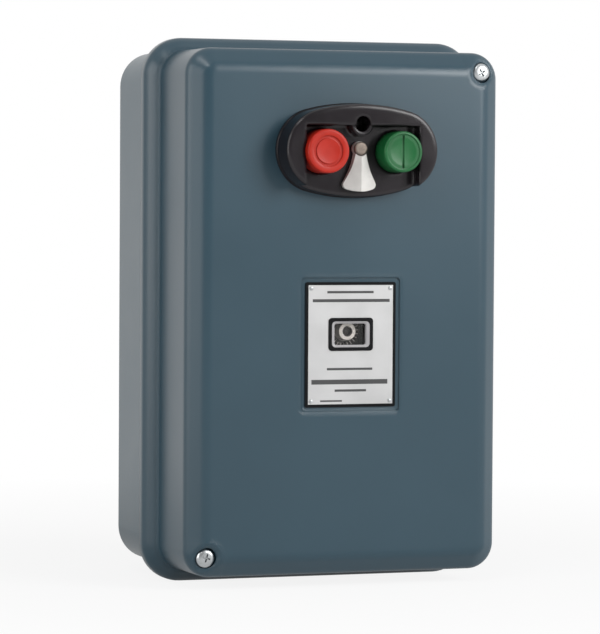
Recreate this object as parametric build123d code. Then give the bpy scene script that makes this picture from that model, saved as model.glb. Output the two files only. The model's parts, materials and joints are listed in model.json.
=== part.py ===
"""Magnetic (direct-on-line) motor starter in a pressed-steel case.

The row frame has its origin on the wall face, at the centre of the wall fixings: +X to the
right as the starter is faced, +Z up, and the front towards -Y. Every size is in millimetres.
A depth is a distance from the wall, so depth d lies at Y = -d.
"""

from build123d import *
from math import atan2, cos, radians, sin, sqrt, tan
import os

# ------------------------------------------------------------------ driving sizes: the case
SHEET = 1.2                    # pressed steel
COVER_WIDTH = 142.0
COVER_HEIGHT = 224.0
COVER_CORNER = 11.5
RIM_OVERHANG = 5.6             # the cover's rim stands out of its wall all round
RIM_BACK = 48.0                # depth of the rim's rear edge
RIM_FRONT = 56.8               # depth of the shoulder in front of the rim
PANEL_DEPTH = 98.7             # depth of the flat front
BEVEL_WIDTH = 7.7              # from the wall in to the flat front
BEVEL_DEPTH = 6.1              # from the flat front back to the wall
RIM_EDGE = 1.8                 # rounding of the rim's front edge
SHOULDER_FILLET = 1.4          # inside corner between shoulder and wall
BEVEL_EDGE = 3.0               # rounding between wall and bevel
PANEL_EDGE = 6.0               # rounding between bevel and flat front

BASE_INSET = 4.9               # the base's wall lies this far inside the rim's outside
BASE_CORNER = 15.0
BASE_BACK_EDGE = 2.8           # rounding between the base's back and its walls
FLANGE_CLEARANCE = 0.3         # between the base's flange and the inside of the rim
GASKET_THICKNESS = 2.4
GASKET_CLEARANCE = 0.1         # between the gasket and the base's flange
GASKET_SIDE_GAP = 0.3

WALL_HOLE_SPACING_X = 105.0
WALL_HOLE_SPACING_Z = 190.0
WALL_HOLE_RADIUS = 2.75

CABLE_ENTRY_SPACING = 62.0
CABLE_ENTRY_DEPTH = 27.0
CABLE_ENTRY_RADIUS = 10.25
GROMMET_BORE = 6.0
GROMMET_LIP_RADIUS = 12.6
GROMMET_LIP = 1.8
GROMMET_NOSE = 1.6             # cone outside the lip

PAD_HEIGHT = 4.8               # pressed-in pads that carry the mounting plate
PAD_RADIUS = 6.0
PAD_FLARE = 2.4

# ------------------------------------------------------------- driving sizes: cover fittings
FITTINGS_X = 1.6               # centre line of the fittings, right of the case's centre

SCREW_POCKET_RADIUS = 6.0
SCREW_POCKET_INSET = 8.7       # screw axis in from the cover's outside, both ways
SCREW_POCKET_DEPTH = 5.7       # pocket floor behind the flat front
POCKET_EDGE = 0.8
COVER_SCREW_RADIUS = 2.0
COVER_SCREW_HEAD = 4.0
COVER_SCREW_HEAD_HEIGHT = 2.5
WASHER_RADIUS = 4.5
WASHER_THICKNESS = 0.6
COVER_SCREW_REACH = 14.0
COVER_SCREW_HOLE = 2.3
PILLAR_RADIUS = 3.6
PILLAR_FOOT = 5.2
PILLAR_FOOT_HEIGHT = 3.0
THREAD_CLEARANCE = 0.06
PILLAR_GAP = 0.9               # pillar end to the inside of the pocket floor

PLATE_WIDTH = 41.2             # rating plate
PLATE_HEIGHT = 53.4
PLATE_Z = -13.6
PLATE_THICKNESS = 0.6
PLATE_CORNER = 0.9
PLATE_RECESS = 0.8
PLATE_RECESS_MARGIN = 1.9
RECESS_CORNER = 1.6
PLATE_RIVET_INSET = 2.6
PLATE_RIVET_RADIUS = 0.9
PLATE_RIVET_HEIGHT = 0.5

WINDOW_WIDTH = 16.4            # clear opening in the window frame
WINDOW_HEIGHT = 10.2
WINDOW_Z = -9.2
WINDOW_CORNER = 2.4            # of the frame's wall
WINDOW_WALL = 1.0              # frame wall inside the cover's opening
WINDOW_CLEARANCE = 0.1
WINDOW_LIP = 0.95              # frame lip outside that wall
WINDOW_PROUD = 0.5             # frame lip in front of the flat front
WINDOW_DEPTH = 3.4
PANE_THICKNESS = 0.9
LINER_CORNER = 0.6
LINER_EDGE = 0.3               # thin front edge of the liner
LINER_SLOPE = 1.1              # liner slopes in by this much
LINER_SET_BACK = 0.5           # liner front behind the frame's front

# --------------------------------------------------------- driving sizes: push-button bezel
BEZEL_HALF_WIDTH = 34.8
BEZEL_HALF_HEIGHT = 20.2
BEZEL_END_RADIUS = 18.0
BEZEL_Z = 69.1
BEZEL_HEIGHT = 13.5
BEZEL_FLANGE = 1.5
BEZEL_FLANGE_WIDTH = 0.4
BEZEL_FLANGE_EDGE = 0.35
BEZEL_DRAFT = 1.2              # degrees
BEZEL_EDGE = 1.3
BEZEL_WALL = 2.0
BEZEL_SPIGOT_INSET = 4.0
BEZEL_SPIGOT_LENGTH = 5.0
OPENING_CLEARANCE = 0.2        # round the spigot in the cover's opening
TRAY_FLOOR = 6.5               # tray floor in front of the flat front
TRAY_HALF_WIDTH = 25.7
TRAY_TOP = 10.6                # straight top edge of the tray above the bezel's centre
TRAY_EDGE = 1.1                # rounding of the tray floor's open lower edge
BEZEL_SCREW_RISE = 11.2        # bezel screw above the bezel's centre
BEZEL_SCREW_BORE = 3.3
BEZEL_SCREW_SINK = 11.0        # screw head below the bezel's front
BEZEL_SCREW_BOSS = 5.0
BEZEL_SCREW_RADIUS = 1.5
BEZEL_SCREW_HEAD = 2.6
BEZEL_SCREW_HEAD_HEIGHT = 2.0
CLAMP_OVERLAP = 3.0
CLAMP_SHEET = 1.6
STRAP_WIDTH = 10.0

STOP_RADIUS = 9.3
START_RADIUS = 8.7
BUTTON_PITCH = 33.8
BUTTON_RISE = -0.5             # button axes above the bezel's centre
BUTTON_FRONT = 17.0            # button faces in front of the flat front
BUTTON_TRAVEL = 5.0
BUTTON_LENGTH = 13.0
BUTTON_EDGE = 0.9
BUTTON_WALL = 2.4
BUTTON_CROWN = 4.0             # thickness behind a button's face
BUTTON_GROOVE = 0.9
STOP_RING_OUTER = 6.5
STOP_RING_INNER = 5.4
START_RIM = 1.3                # rim left round the start button's dished face
START_DISH = 0.4
START_BAR_LENGTH = 13.8
START_BAR_WIDTH = 1.0
BUTTON_CLEARANCE = 0.15
BUTTON_STEM_RADIUS = 3.5
SPRING_CLEARANCE = 0.45
STEM_CLEARANCE = 0.1
GUIDE_WALL = 1.8
GUIDE_LENGTH = 7.5             # the button guides reach this far behind the flat front
GUIDE_END_WALL = 1.6
CLIP_THICKNESS = 0.8
CLIP_RADIUS = 5.4
CLIP_GAP = 2.4
STEM_PROUD = 3.0               # stem end behind its clip
STEM_GAP = 0.5                 # stem end to the plunger that it presses

LEVER_PIVOT_RISE = 0.7         # lever pivot above the bezel's centre
LEVER_NECK = 2.4
LEVER_TAIL = 8.3
LEVER_LENGTH = 18.1
LEVER_CORNER = 2.0             # rounding of the tail's two corners
LEVER_HUB = 3.1
LEVER_RIDGE = 4.2
LEVER_SKIRT = 1.5
LEVER_GAP = 0.6                # lever back to tray floor
PIVOT_RADIUS = 1.5
PIVOT_BOSS = 4.2
PIVOT_DEPTH = 5.0              # of the pin's hole in the tray floor
PIVOT_HEAD = 3.0
PIVOT_HEAD_HEIGHT = 1.7
PIVOT_CLEARANCE = 0.08
LEVER_SINK = 2.1               # floor of the sink for the pin's head, above the lever's back
SINK_CLEARANCE = 0.15
HEAD_CLEARANCE = 0.1

# ----------------------------------------------------------------- driving sizes: chassis
CHASSIS_SHEET = 1.6
CHASSIS_WIDTH = 92.0
CHASSIS_MARGIN = 10.0          # beyond the contactor above and the relay below
CHASSIS_CORNER = 4.0
CHASSIS_SCREW_INSET = 9.0      # in from the long edges
CHASSIS_SCREW_DROP = 5.2       # in from the short edges
SMALL_SCREW_RADIUS = 1.8
SMALL_SCREW_HEAD = 3.4
SMALL_SCREW_HEAD_HEIGHT = 2.4
PAD_SCREW_REACH = 5.0

# --------------------------------------------------------------- driving sizes: contactor
CONTACTOR_Z = 53.0
CONTACTOR_WIDTH = 72.0
CONTACTOR_HEIGHT = 72.0
CONTACTOR_FEET = 82.0
FOOT_THICKNESS = 4.0
FOOT_SCREW_X = 25.0
HEAD_ROOM = 0.6                # round a screw head beside a moulding
FOOT_SCREW_INSET = 3.6         # in from the ends of the contactor's feet
MOULDING_WALL = 2.6
MAGNET_BOX_WIDTH = 64.0
MAGNET_BOX_HEIGHT = 58.0
MAGNET_BOX_RISE = 0.8          # box front in front of the core's pole faces
CONTACT_BOX_HEIGHT = 44.0
BARRIER_THICKNESS = 2.4
BARRIER_RISE = 9.0             # fin height over the terminals
ARC_COVER_DEPTH = 10.0
POLE_PITCH = 21.0
CORE_WIDTH = 44.0
CORE_STACK = 14.0
CORE_YOKE = 8.0
CORE_CENTRE_LEG = 12.0
CORE_OUTER_LEG = 6.6
SHADING_INSET = 1.2            # shading ring in from the sides of an outer leg
SHADING_WIDTH = 1.0
SHADING_DEPTH = 1.2
ARMATURE_LEG = 4.0
ARMATURE_YOKE = 7.0
ARMATURE_TRAVEL = 4.0
TRAVEL_CLEARANCE = 0.1
COIL_WALL = 1.0
COIL_CLEARANCE = 0.3
COIL_BUILD = 6.4
COIL_MARGIN = 0.4              # winding inside the edge of its former
COIL_END_GAP = 0.3             # former to the magnet's yoke and pole faces
STRIP_WIDTH = 9.0
STRIP_THICKNESS = 1.5
STRIP_END_INSET = 1.2
STRIP_INNER = 9.4              # inner end of each fixed contact from the contactor's centre line
TIP_RADIUS = 2.2
TIP_HEIGHT = 1.0
TIP_INSET = 0.4                # tip in from the inner end of its strip
BRIDGE_WIDTH = 6.4
BRIDGE_THICKNESS = 1.4
BRIDGE_SIDE_GAP = 1.0
CONTACT_SPRING_LENGTH = 6.6
CONTACT_SPRING_RADIUS = 3.0
CONTACT_SPRING_WIRE = 0.8
CARRIER_WIDTH = 58.0
CARRIER_SIDE_GAP = 0.3
CARRIER_WINDOW = 8.0
CARRIER_RAIL = 2.2
CARRIER_TOP_GAP = 0.6          # carrier to the inside of the arc cover
STRIP_CLEARANCE = 0.1          # under each fixed contact in its chamber
SLOT_CLEARANCE = 0.2           # beside a strip or link in its slot, both sides together
ARMATURE_SIDE_ROOM = 7.0
ARMATURE_END_ROOM = 4.6
INDICATOR_SIDE_GAP = 0.3
INDICATOR_SET_BACK = 0.2       # indicator behind the contactor's front
INDICATOR_WIDTH = 16.0
INDICATOR_HEIGHT = 8.0
RETURN_SPRING_RADIUS = 2.6
RETURN_SPRING_WIRE = 0.7
SPRING_SEAT = 3.0
RETURN_SPRING_X = 25.6
TERMINAL_INSET = 6.4           # terminal screw in from the contactor's end
TERMINAL_SCREW = 1.9
TERMINAL_HEAD = 3.7
TERMINAL_HEAD_HEIGHT = 2.4
TERMINAL_REACH = 9.0
TERMINAL_HOLE = 8.0            # hole below each terminal step

# ---------------------------------------------------------- driving sizes: overload relay
RELAY_GAP = 4.0                # below the contactor's foot
RELAY_HEIGHT = 64.0
RELAY_WIDTH = 68.0
RELAY_FOOT = 8.4               # foot below the relay
RELAY_FOOT_INSET = 4.0
RELAY_LID_DROP = 3.6           # relay front behind the switch block's
RELAY_LID_DEPTH = 16.0
RELAY_STEP_DROP = 12.0         # terminal step behind the lid's seam
RELAY_STEP = 14.0              # height of the terminal step
RELAY_BACK_WALL = 3.0
RELAY_FIN_DROP = 3.0           # fins behind the lid's seam
RELAY_LID_EDGE = 1.2
TURRET_WIDTH = 21.0
TURRET_HEIGHT = 21.0
TURRET_EDGE = 0.8
DIAL_RISE = 1.1                # dial axis above the window's centre
DIAL_RADIUS = 3.9
DIAL_GAP = 1.2                 # knob to window pane
DIAL_HEIGHT = 6.4              # knob front in front of the turret
DIAL_DISC_RADIUS = 7.6
DIAL_DISC = 1.4
DIAL_SOCKET = 2.2
DIAL_SOCKET_DEPTH = 3.0
DIAL_SHAFT = 2.0
DIAL_SHAFT_LENGTH = 8.0
DIAL_CLEARANCE = 0.06
DIAL_LIFT = 0.15               # disc in front of the turret
DIAL_MARK = 3.2                # notch in the edge of the disc
LINK_WIDTH = 7.0
LINK_NOTCH = 5.0               # the relay's top wall is notched this far for each link
LINK_END = 4.2                 # link end beyond its screw
BIMETAL_WIDTH = 5.0
BIMETAL_THICKNESS = 0.9
BIMETAL_LENGTH = 34.0
BIMETAL_HELD = 3.0             # of that length, held above the link
BIMETAL_DROP = 14.0            # strips behind the terminal step
TRIP_BAR_RISE = 1.0
TRIP_BAR_GAP = 0.6
BIMETAL_SHIFT = 1.0            # strips left of each chamber's middle
HEATER_BUILD = 1.5
HEATER_END = 7.6               # bare strip at each end
TRIP_BAR_HEIGHT = 4.0
TRIP_BAR_DEPTH = 6.0
TRIP_BAR_SIDE = 30.0
TRIP_BAR_CLEARANCE = 0.2
FINGER_GAP = 0.3
FINGER_WIDTH = 1.6
FINGER_RISE = 6.0
TRIP_TRAVEL = 3.0
CONTROL_TERMINAL_INSET = 5.5   # in from the relay's sides
CONTROL_TERMINAL_DROP = 28.0   # upper pair below the relay's top
CONTROL_TERMINAL_PITCH = 12.0
CLAMP_WIDTH = 6.4
CLAMP_HEIGHT = 6.0
CLAMP_THICKNESS = 1.0

# ------------------------------------------------- driving sizes: control block and linkage
BLOCK_WIDTH = 66.0
BLOCK_HEIGHT = 19.0
BLOCK_DEPTH = 9.6
BLOCK_STEP_WIDTH = 7.5
BLOCK_STEP = 4.6               # terminal steps behind the block's front
BLOCK_TERMINAL_RISE = 4.6
BLOCK_TERMINAL_REACH = 4.0
CONTROL_REACH = 3.4            # of the screws on the relay's front
BLOCK_SCREW_RISE = 4.5         # each from the middle of the pair
BLOCK_SCREW_DROP = 2.0         # both screws lie this far below the block's middle
CHAMBER_BACK = 0.8             # wall behind the block's two switch chambers
CHAMBER_SIDE_WALL = 1.0
BLOCK_FRONT_WALL = 1.6
BLOCK_WALL = 1.2
BLOCK_FIN = 1.2                # fin between the two terminals of a step
BLOCK_SCREW = 1.5
BLOCK_TERMINAL_SCREW = 1.2
CONTROL_SCREW = 1.5            # of the relay's control terminals
BLADE_END_GAP = 1.1            # blade to the ends of its chamber
BLADE_WIDTH = 5.0
BLADE_THICKNESS = 0.8
COLLAR_THICKNESS = 1.2
COLLAR_RADIUS = 4.4
COLLAR_CLEARANCE = 0.1
PLUNGER_SPRING_RADIUS = 2.6
PLUNGER_SPRING_WIRE = 0.6
PLUNGER_RADIUS = 3.0
PLUNGER_CLEARANCE = 0.1
BAR_CLEARANCE = 0.7            # bar to block with the stop button pressed
RESET_BAR_WIDTH = 8.0
RESET_BAR_THICKNESS = 1.6
RIB_WIDTH = 1.0
RIB_HEIGHT = 1.4
RIB_DROP = 3.0                 # ribs below the middle of the bar
RESET_BAR_TOP = 6.0            # bar end above the stop axis
RESET_PIN_DROP = 32.0          # pin below the relay's top
RESET_PIN_RADIUS = 2.5
RESET_PIN_TIP = 1.6

WIRE_RADIUS = 1.2
WIRE_BEND = 3.0
WIRE_CLEARANCE = 0.1
WIRE_OUT = 8.15                # inner wires outside the block's terminals
WIRE_PITCH = 3.6

EARTH_X = 24.0
EARTH_Z = -86.0
EARTH_RADIUS = 2.0
EARTH_LENGTH = 13.8
EARTH_WASHER = 4.6
EARTH_NUT = 3.5                # half of a nut's width across its flats
EARTH_NUT_HEIGHT = 3.0
EARTH_COLLAR = 1.2
EARTH_WASHER_THICKNESS = 0.8

# ---------------------------------------------------------------------------- derived sizes
rim_width = COVER_WIDTH + 2 * RIM_OVERHANG
rim_height = COVER_HEIGHT + 2 * RIM_OVERHANG
rim_corner = COVER_CORNER + RIM_OVERHANG
base_width = rim_width - 2 * BASE_INSET
base_height = rim_height - 2 * BASE_INSET
bevel_angle = atan2(BEVEL_DEPTH, BEVEL_WIDTH)
panel_back = PANEL_DEPTH - SHEET

gasket_front = RIM_FRONT - SHEET
gasket_back = gasket_front - GASKET_THICKNESS
flange_front = gasket_back - GASKET_CLEARANCE
flange_out = BASE_INSET - SHEET - FLANGE_CLEARANCE

screw_x = COVER_WIDTH / 2 - SCREW_POCKET_INSET
screw_z = COVER_HEIGHT / 2 - SCREW_POCKET_INSET
screw_places = [(screw_x, screw_z), (-screw_x, -screw_z)]
pocket_floor = PANEL_DEPTH - SCREW_POCKET_DEPTH
pillar_front = pocket_floor - SHEET - PILLAR_GAP

bezel_front = PANEL_DEPTH + BEZEL_HEIGHT
tray_depth = PANEL_DEPTH + TRAY_FLOOR
button_z = BEZEL_Z + BUTTON_RISE
stop_x = -BUTTON_PITCH / 2
start_x = BUTTON_PITCH / 2
button_face = PANEL_DEPTH + BUTTON_FRONT
button_back = button_face - BUTTON_LENGTH
guide_end = PANEL_DEPTH - GUIDE_LENGTH
guide_floor = guide_end + GUIDE_END_WALL
stem_end = guide_end - CLIP_THICKNESS - STEM_PROUD
bezel_screw_z = BEZEL_Z + BEZEL_SCREW_RISE
bezel_screw_head = bezel_front - BEZEL_SCREW_SINK
strap_back = PANEL_DEPTH - BEZEL_SPIGOT_LENGTH - CLAMP_SHEET
pivot_z = BEZEL_Z + LEVER_PIVOT_RISE
lever_back = tray_depth + LEVER_GAP
lever_sink = lever_back + LEVER_SINK

pad_top = SHEET + PAD_HEIGHT
chassis_front = pad_top + CHASSIS_SHEET
chassis_screw_x = CHASSIS_WIDTH / 2 - CHASSIS_SCREW_INSET
relay_top = CONTACTOR_Z - CONTACTOR_FEET / 2 - RELAY_GAP
relay_bottom = relay_top - RELAY_HEIGHT
chassis_top = CONTACTOR_Z + CONTACTOR_FEET / 2 + CHASSIS_MARGIN
chassis_bottom = relay_bottom - CHASSIS_MARGIN
chassis_screw_zs = (chassis_top - CHASSIS_SCREW_DROP, chassis_bottom + CHASSIS_SCREW_DROP)

window_front = PANEL_DEPTH - PLATE_RECESS + PLATE_THICKNESS + WINDOW_PROUD
window_back = window_front - WINDOW_DEPTH

plunger_front = stem_end - STEM_GAP
bar_back = plunger_front - RESET_BAR_THICKNESS
block_front = bar_back - BUTTON_TRAVEL - BAR_CLEARANCE
block_back = block_front - BLOCK_DEPTH
block_step_depth = block_front - BLOCK_STEP
reset_pin_z = relay_top - RESET_PIN_DROP
dial_z = WINDOW_Z + DIAL_RISE
dial_front = window_back - DIAL_GAP
turret_front = dial_front - DIAL_HEIGHT

# The contactor is stacked from its front back to the armature; the coil takes what is left.
poles = [(index - 1) * POLE_PITCH for index in range(3)]
contactor_front = block_back
carrier_front = contactor_front - MOULDING_WALL - CARRIER_TOP_GAP
bridge_front = carrier_front - CARRIER_RAIL - CONTACT_SPRING_LENGTH
bridge_back = bridge_front - BRIDGE_THICKNESS
strip_front = bridge_back - 2 * TIP_HEIGHT - ARMATURE_TRAVEL - TRAVEL_CLEARANCE
terminal_step = strip_front - STRIP_THICKNESS
chamber_floor = terminal_step - STRIP_CLEARANCE
armature_front = chamber_floor - MOULDING_WALL
armature_back = armature_front - ARMATURE_YOKE - ARMATURE_LEG
core_front = armature_back - ARMATURE_TRAVEL - TRAVEL_CLEARANCE
core_back = chassis_front + MOULDING_WALL
coil_back = core_back + CORE_YOKE + COIL_END_GAP
coil_front = core_front - COIL_END_GAP
magnet_box_front = core_front + MAGNET_BOX_RISE
barrier_front = terminal_step + BARRIER_RISE
arc_cover_back = contactor_front - ARC_COVER_DEPTH
chamber_width = POLE_PITCH - BARRIER_THICKNESS
terminal_z = CONTACTOR_HEIGHT / 2 - TERMINAL_INSET
tip_z = STRIP_INNER + TIP_INSET + TIP_RADIUS

relay_lid_front = block_front - RELAY_LID_DROP
relay_body_front = relay_lid_front - RELAY_LID_DEPTH
relay_step_depth = relay_body_front - RELAY_STEP_DROP
relay_z = (relay_top + relay_bottom) / 2
relay_step_top = relay_bottom + RELAY_STEP
relay_chamber_top = relay_top - MOULDING_WALL
relay_chamber_bottom = relay_step_top + MOULDING_WALL
relay_chamber_z = (relay_chamber_top + relay_chamber_bottom) / 2
relay_chamber_height = relay_chamber_top - relay_chamber_bottom
load_screw_z = relay_bottom + RELAY_STEP / 2
bimetal_depth = relay_step_depth - BIMETAL_DROP
trip_bar_z = relay_chamber_bottom + TRIP_BAR_RISE + TRIP_BAR_HEIGHT / 2
bimetal_bottom = trip_bar_z + TRIP_BAR_HEIGHT / 2 + TRIP_BAR_GAP
bimetal_top = bimetal_bottom + BIMETAL_LENGTH
strip_end_z = bimetal_top - BIMETAL_HELD

block_end_x = BLOCK_WIDTH / 2 - BLOCK_STEP_WIDTH / 2
chamber_half = BLOCK_WIDTH / 2 - BLOCK_STEP_WIDTH - CHAMBER_SIDE_WALL - BUTTON_PITCH / 2
plunger_collar_front = block_front - BLOCK_FRONT_WALL
blade_back = plunger_collar_front - COLLAR_THICKNESS - BLADE_THICKNESS
blade_length = 2 * (chamber_half - BLADE_END_GAP)
spring_seat = block_back + CHAMBER_BACK

case = {}                      # pieces drawn about the case's centre line
fittings = {}                  # pieces drawn about their own, FITTINGS_X to the right of it


# ---------------------------------------------------------------------------------- helpers
def at_depth(depth):
    """The plane that faces the front, at that distance from the wall."""
    return Plane.XZ.offset(depth)


def prism(face, back, front, x=0.0, z=0.0, taper=0.0):
    """A face drawn in X and Z, carried from the depth back to the depth front."""
    return extrude(at_depth(back) * (Pos(x, z) * face), front - back, taper=taper)


def slab(width, height, back, front, x=0.0, z=0.0, corner=0.0):
    """A plate or box with its four front corners rounded."""
    face = RectangleRounded(width, height, corner) if corner else Rectangle(width, height)
    return prism(face, back, front, x, z)


def rod(radius, back, front, x=0.0, z=0.0):
    return prism(Circle(radius), back, front, x, z)


def tube(outer, inner, back, front, x=0.0, z=0.0):
    return prism(Circle(outer) - Circle(inner), back, front, x, z)


def edges_at_depth(shape, depth):
    """The edges that lie wholly at one depth."""
    return [
        edge
        for edge in shape.edges()
        if abs(edge.bounding_box().min.Y + depth) < 1e-3
        and abs(edge.bounding_box().max.Y + depth) < 1e-3
    ]


def ring_at(shape, depth, width, height):
    """The edges, at one depth, of a rounded rectangle that is width by height."""
    ring = []
    for edge in edges_at_depth(shape, depth):
        box = edge.bounding_box()
        across = max(abs(box.min.X), abs(box.max.X)) - width / 2
        upright = max(abs(box.min.Z), abs(box.max.Z)) - height / 2
        if min(abs(across), abs(upright)) < 0.01:
            ring.append(edge)
    return ring


def pan_screw(x, z, seat, radius, head, head_height, reach):
    """A pan-head screw whose head stands in front of the depth seat."""
    top = rod(head, seat, seat + head_height, x, z)
    top = fillet(edges_at_depth(top, seat + head_height), 0.6 * head_height)
    return top + rod(radius, seat - reach, seat, x, z)


def oval(half_width, half_height, end_radius):
    """A four-centre oval: two end arcs run into two flatter arcs."""
    flat_radius = (half_width**2 + half_height**2 - 2 * half_width * end_radius) / (
        2 * (half_height - end_radius)
    )
    x = flat_radius * (half_width - end_radius) / (flat_radius - end_radius)
    z = half_height - flat_radius + sqrt(flat_radius**2 - x**2)
    return make_face(
        [
            ThreePointArc((-x, z), (0, half_height), (x, z)),
            ThreePointArc((x, z), (half_width, 0), (x, -z)),
            ThreePointArc((x, -z), (0, -half_height), (-x, -z)),
            ThreePointArc((-x, -z), (-half_width, 0), (-x, z)),
        ]
    )


def bezel_oval(inset):
    return oval(BEZEL_HALF_WIDTH - inset, BEZEL_HALF_HEIGHT - inset, BEZEL_END_RADIUS - inset)


# ------------------------------------------------------------------------------- case: cover
def cover_form(skin):
    """The cover's stepped and bevelled form, drawn in by skin on every side."""
    back = RIM_BACK - (SHEET if skin else 0)
    bevel_start = PANEL_DEPTH - BEVEL_DEPTH - skin * tan((radians(90) - bevel_angle) / 2)
    front = PANEL_DEPTH - skin
    panel_inset = BEVEL_WIDTH + skin * tan(bevel_angle / 2)
    rim = slab(rim_width - 2 * skin, rim_height - 2 * skin, back, RIM_FRONT - skin, corner=rim_corner - skin)
    wall_face = RectangleRounded(COVER_WIDTH - 2 * skin, COVER_HEIGHT - 2 * skin, COVER_CORNER - skin)
    panel_face = RectangleRounded(
        COVER_WIDTH - 2 * panel_inset, COVER_HEIGHT - 2 * panel_inset, COVER_CORNER - panel_inset
    )
    wall = prism(wall_face, back, bevel_start)
    bevel = loft([at_depth(bevel_start) * wall_face, at_depth(front) * panel_face], ruled=True)
    form = rim + wall + bevel
    if not skin:
        form = fillet(edges_at_depth(form, front), PANEL_EDGE)
        form = fillet(edges_at_depth(form, bevel_start), BEVEL_EDGE)
    rim_ring = ring_at(form, RIM_FRONT - skin, rim_width - 2 * skin, rim_height - 2 * skin)
    form = fillet(rim_ring, RIM_EDGE - skin)
    wall_ring = ring_at(form, RIM_FRONT - skin, COVER_WIDTH - 2 * skin, COVER_HEIGHT - 2 * skin)
    return fillet(wall_ring, SHOULDER_FILLET + skin)


def pocket(radius, floor, flare):
    """The round pocket for a cover screw, opening out over the flat front by flare."""
    top = PANEL_DEPTH - floor
    profile = make_face(
        [
            Line((0, 0), (radius, 0)),
            Line((radius, 0), (radius, top - flare)),
            ThreePointArc(
                (radius, top - flare),
                (radius + flare * (1 - cos(radians(45))), top - flare * (1 - sin(radians(45)))),
                (radius + flare, top),
            ),
            Line((radius + flare, top), (radius + flare, top + 2)),
            Line((radius + flare, top + 2), (0, top + 2)),
            Line((0, top + 2), (0, 0)),
        ]
    )
    return Pos(0, -floor, 0) * Rot(90, 0, 0) * revolve(Plane.XZ * profile, Axis.Z)


def window_opening(back, front):
    """The opening that the window frame's wall passes through."""
    width = WINDOW_WIDTH + 2 * (WINDOW_WALL + WINDOW_CLEARANCE)
    height = WINDOW_HEIGHT + 2 * (WINDOW_WALL + WINDOW_CLEARANCE)
    return slab(width, height, back, front, z=WINDOW_Z, corner=WINDOW_CORNER + WINDOW_CLEARANCE)


def cover_shell():
    """The drawn sheet: pockets for the screws, a recess for the plate, and two openings."""
    cavity = cover_form(SHEET)
    recess_width = PLATE_WIDTH + 2 * PLATE_RECESS_MARGIN
    recess_height = PLATE_HEIGHT + 2 * PLATE_RECESS_MARGIN
    recess_floor = PANEL_DEPTH - PLATE_RECESS
    wall = SCREW_POCKET_RADIUS + SHEET
    reach = 3 * wall
    for x, z in screw_places:
        side = x / screw_x
        block_x = x + side * (reach - wall)
        block_z = z + side * (reach - wall)
        back = pocket_floor - SHEET
        cavity -= slab(2 * reach, 2 * reach, back, PANEL_DEPTH, block_x, block_z, corner=wall)
    cavity -= slab(
        recess_width + SHEET, recess_height + SHEET, recess_floor - SHEET, PANEL_DEPTH, FITTINGS_X, PLATE_Z,
        corner=RECESS_CORNER + SHEET / 2,
    )
    shell = cover_form(0) - cavity
    for x, z in screw_places:
        shell -= Pos(x, 0, z) * pocket(SCREW_POCKET_RADIUS, pocket_floor, POCKET_EDGE)
        shell -= rod(COVER_SCREW_HOLE, pocket_floor - 2 * SHEET, PANEL_DEPTH, x, z)
    shell -= slab(
        recess_width, recess_height, recess_floor, PANEL_DEPTH + 1, FITTINGS_X, PLATE_Z, corner=RECESS_CORNER
    )
    shell -= Pos(FITTINGS_X, 0, 0) * window_opening(recess_floor - 2 * SHEET, PANEL_DEPTH)
    spigot = bezel_oval(BEZEL_SPIGOT_INSET - OPENING_CLEARANCE)
    return shell - prism(spigot, panel_back - 1, PANEL_DEPTH + 1, FITTINGS_X, BEZEL_Z)


case["cover_shell"] = cover_shell()


def base_outline(inset):
    """The base's outline, drawn in on every side by inset."""
    return RectangleRounded(base_width - 2 * inset, base_height - 2 * inset, BASE_CORNER - inset)


def cover_gasket():
    """The rubber seal in the cover's shoulder, which lands on the base's flange."""
    ring = base_outline(GASKET_SIDE_GAP - flange_out) - base_outline(SHEET)
    return prism(ring, gasket_back, gasket_front)


def cover_screws():
    """The two long screws, with plain washers, that hold the cover to the pillars."""
    screws = []
    seat = pocket_floor + WASHER_THICKNESS
    head = (COVER_SCREW_HEAD, COVER_SCREW_HEAD_HEIGHT)
    for x, z in screw_places:
        screws.append(tube(WASHER_RADIUS, COVER_SCREW_RADIUS, pocket_floor, seat, x, z))
        screws.append(pan_screw(x, z, seat, COVER_SCREW_RADIUS, *head, COVER_SCREW_REACH))
    return screws


case["cover_gasket"] = cover_gasket()
case["cover_screws"] = cover_screws()


# -------------------------------------------------------------------------------- case: base
def chassis_screw_places():
    return [(x, z) for x in (-chassis_screw_x, chassis_screw_x) for z in chassis_screw_zs]


def dished_pad(x, z, skin):
    """A round pad pressed in from the back of the base; skin shrinks it to the hollow behind."""
    top = pad_top - skin
    bottom = 0 if skin else SHEET / 2
    foot = at_depth(bottom) * Pos(x, z) * Circle(PAD_RADIUS + PAD_FLARE - skin)
    head = at_depth(top) * Pos(x, z) * Circle(PAD_RADIUS - skin)
    return loft([foot, head], ruled=True)


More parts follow.
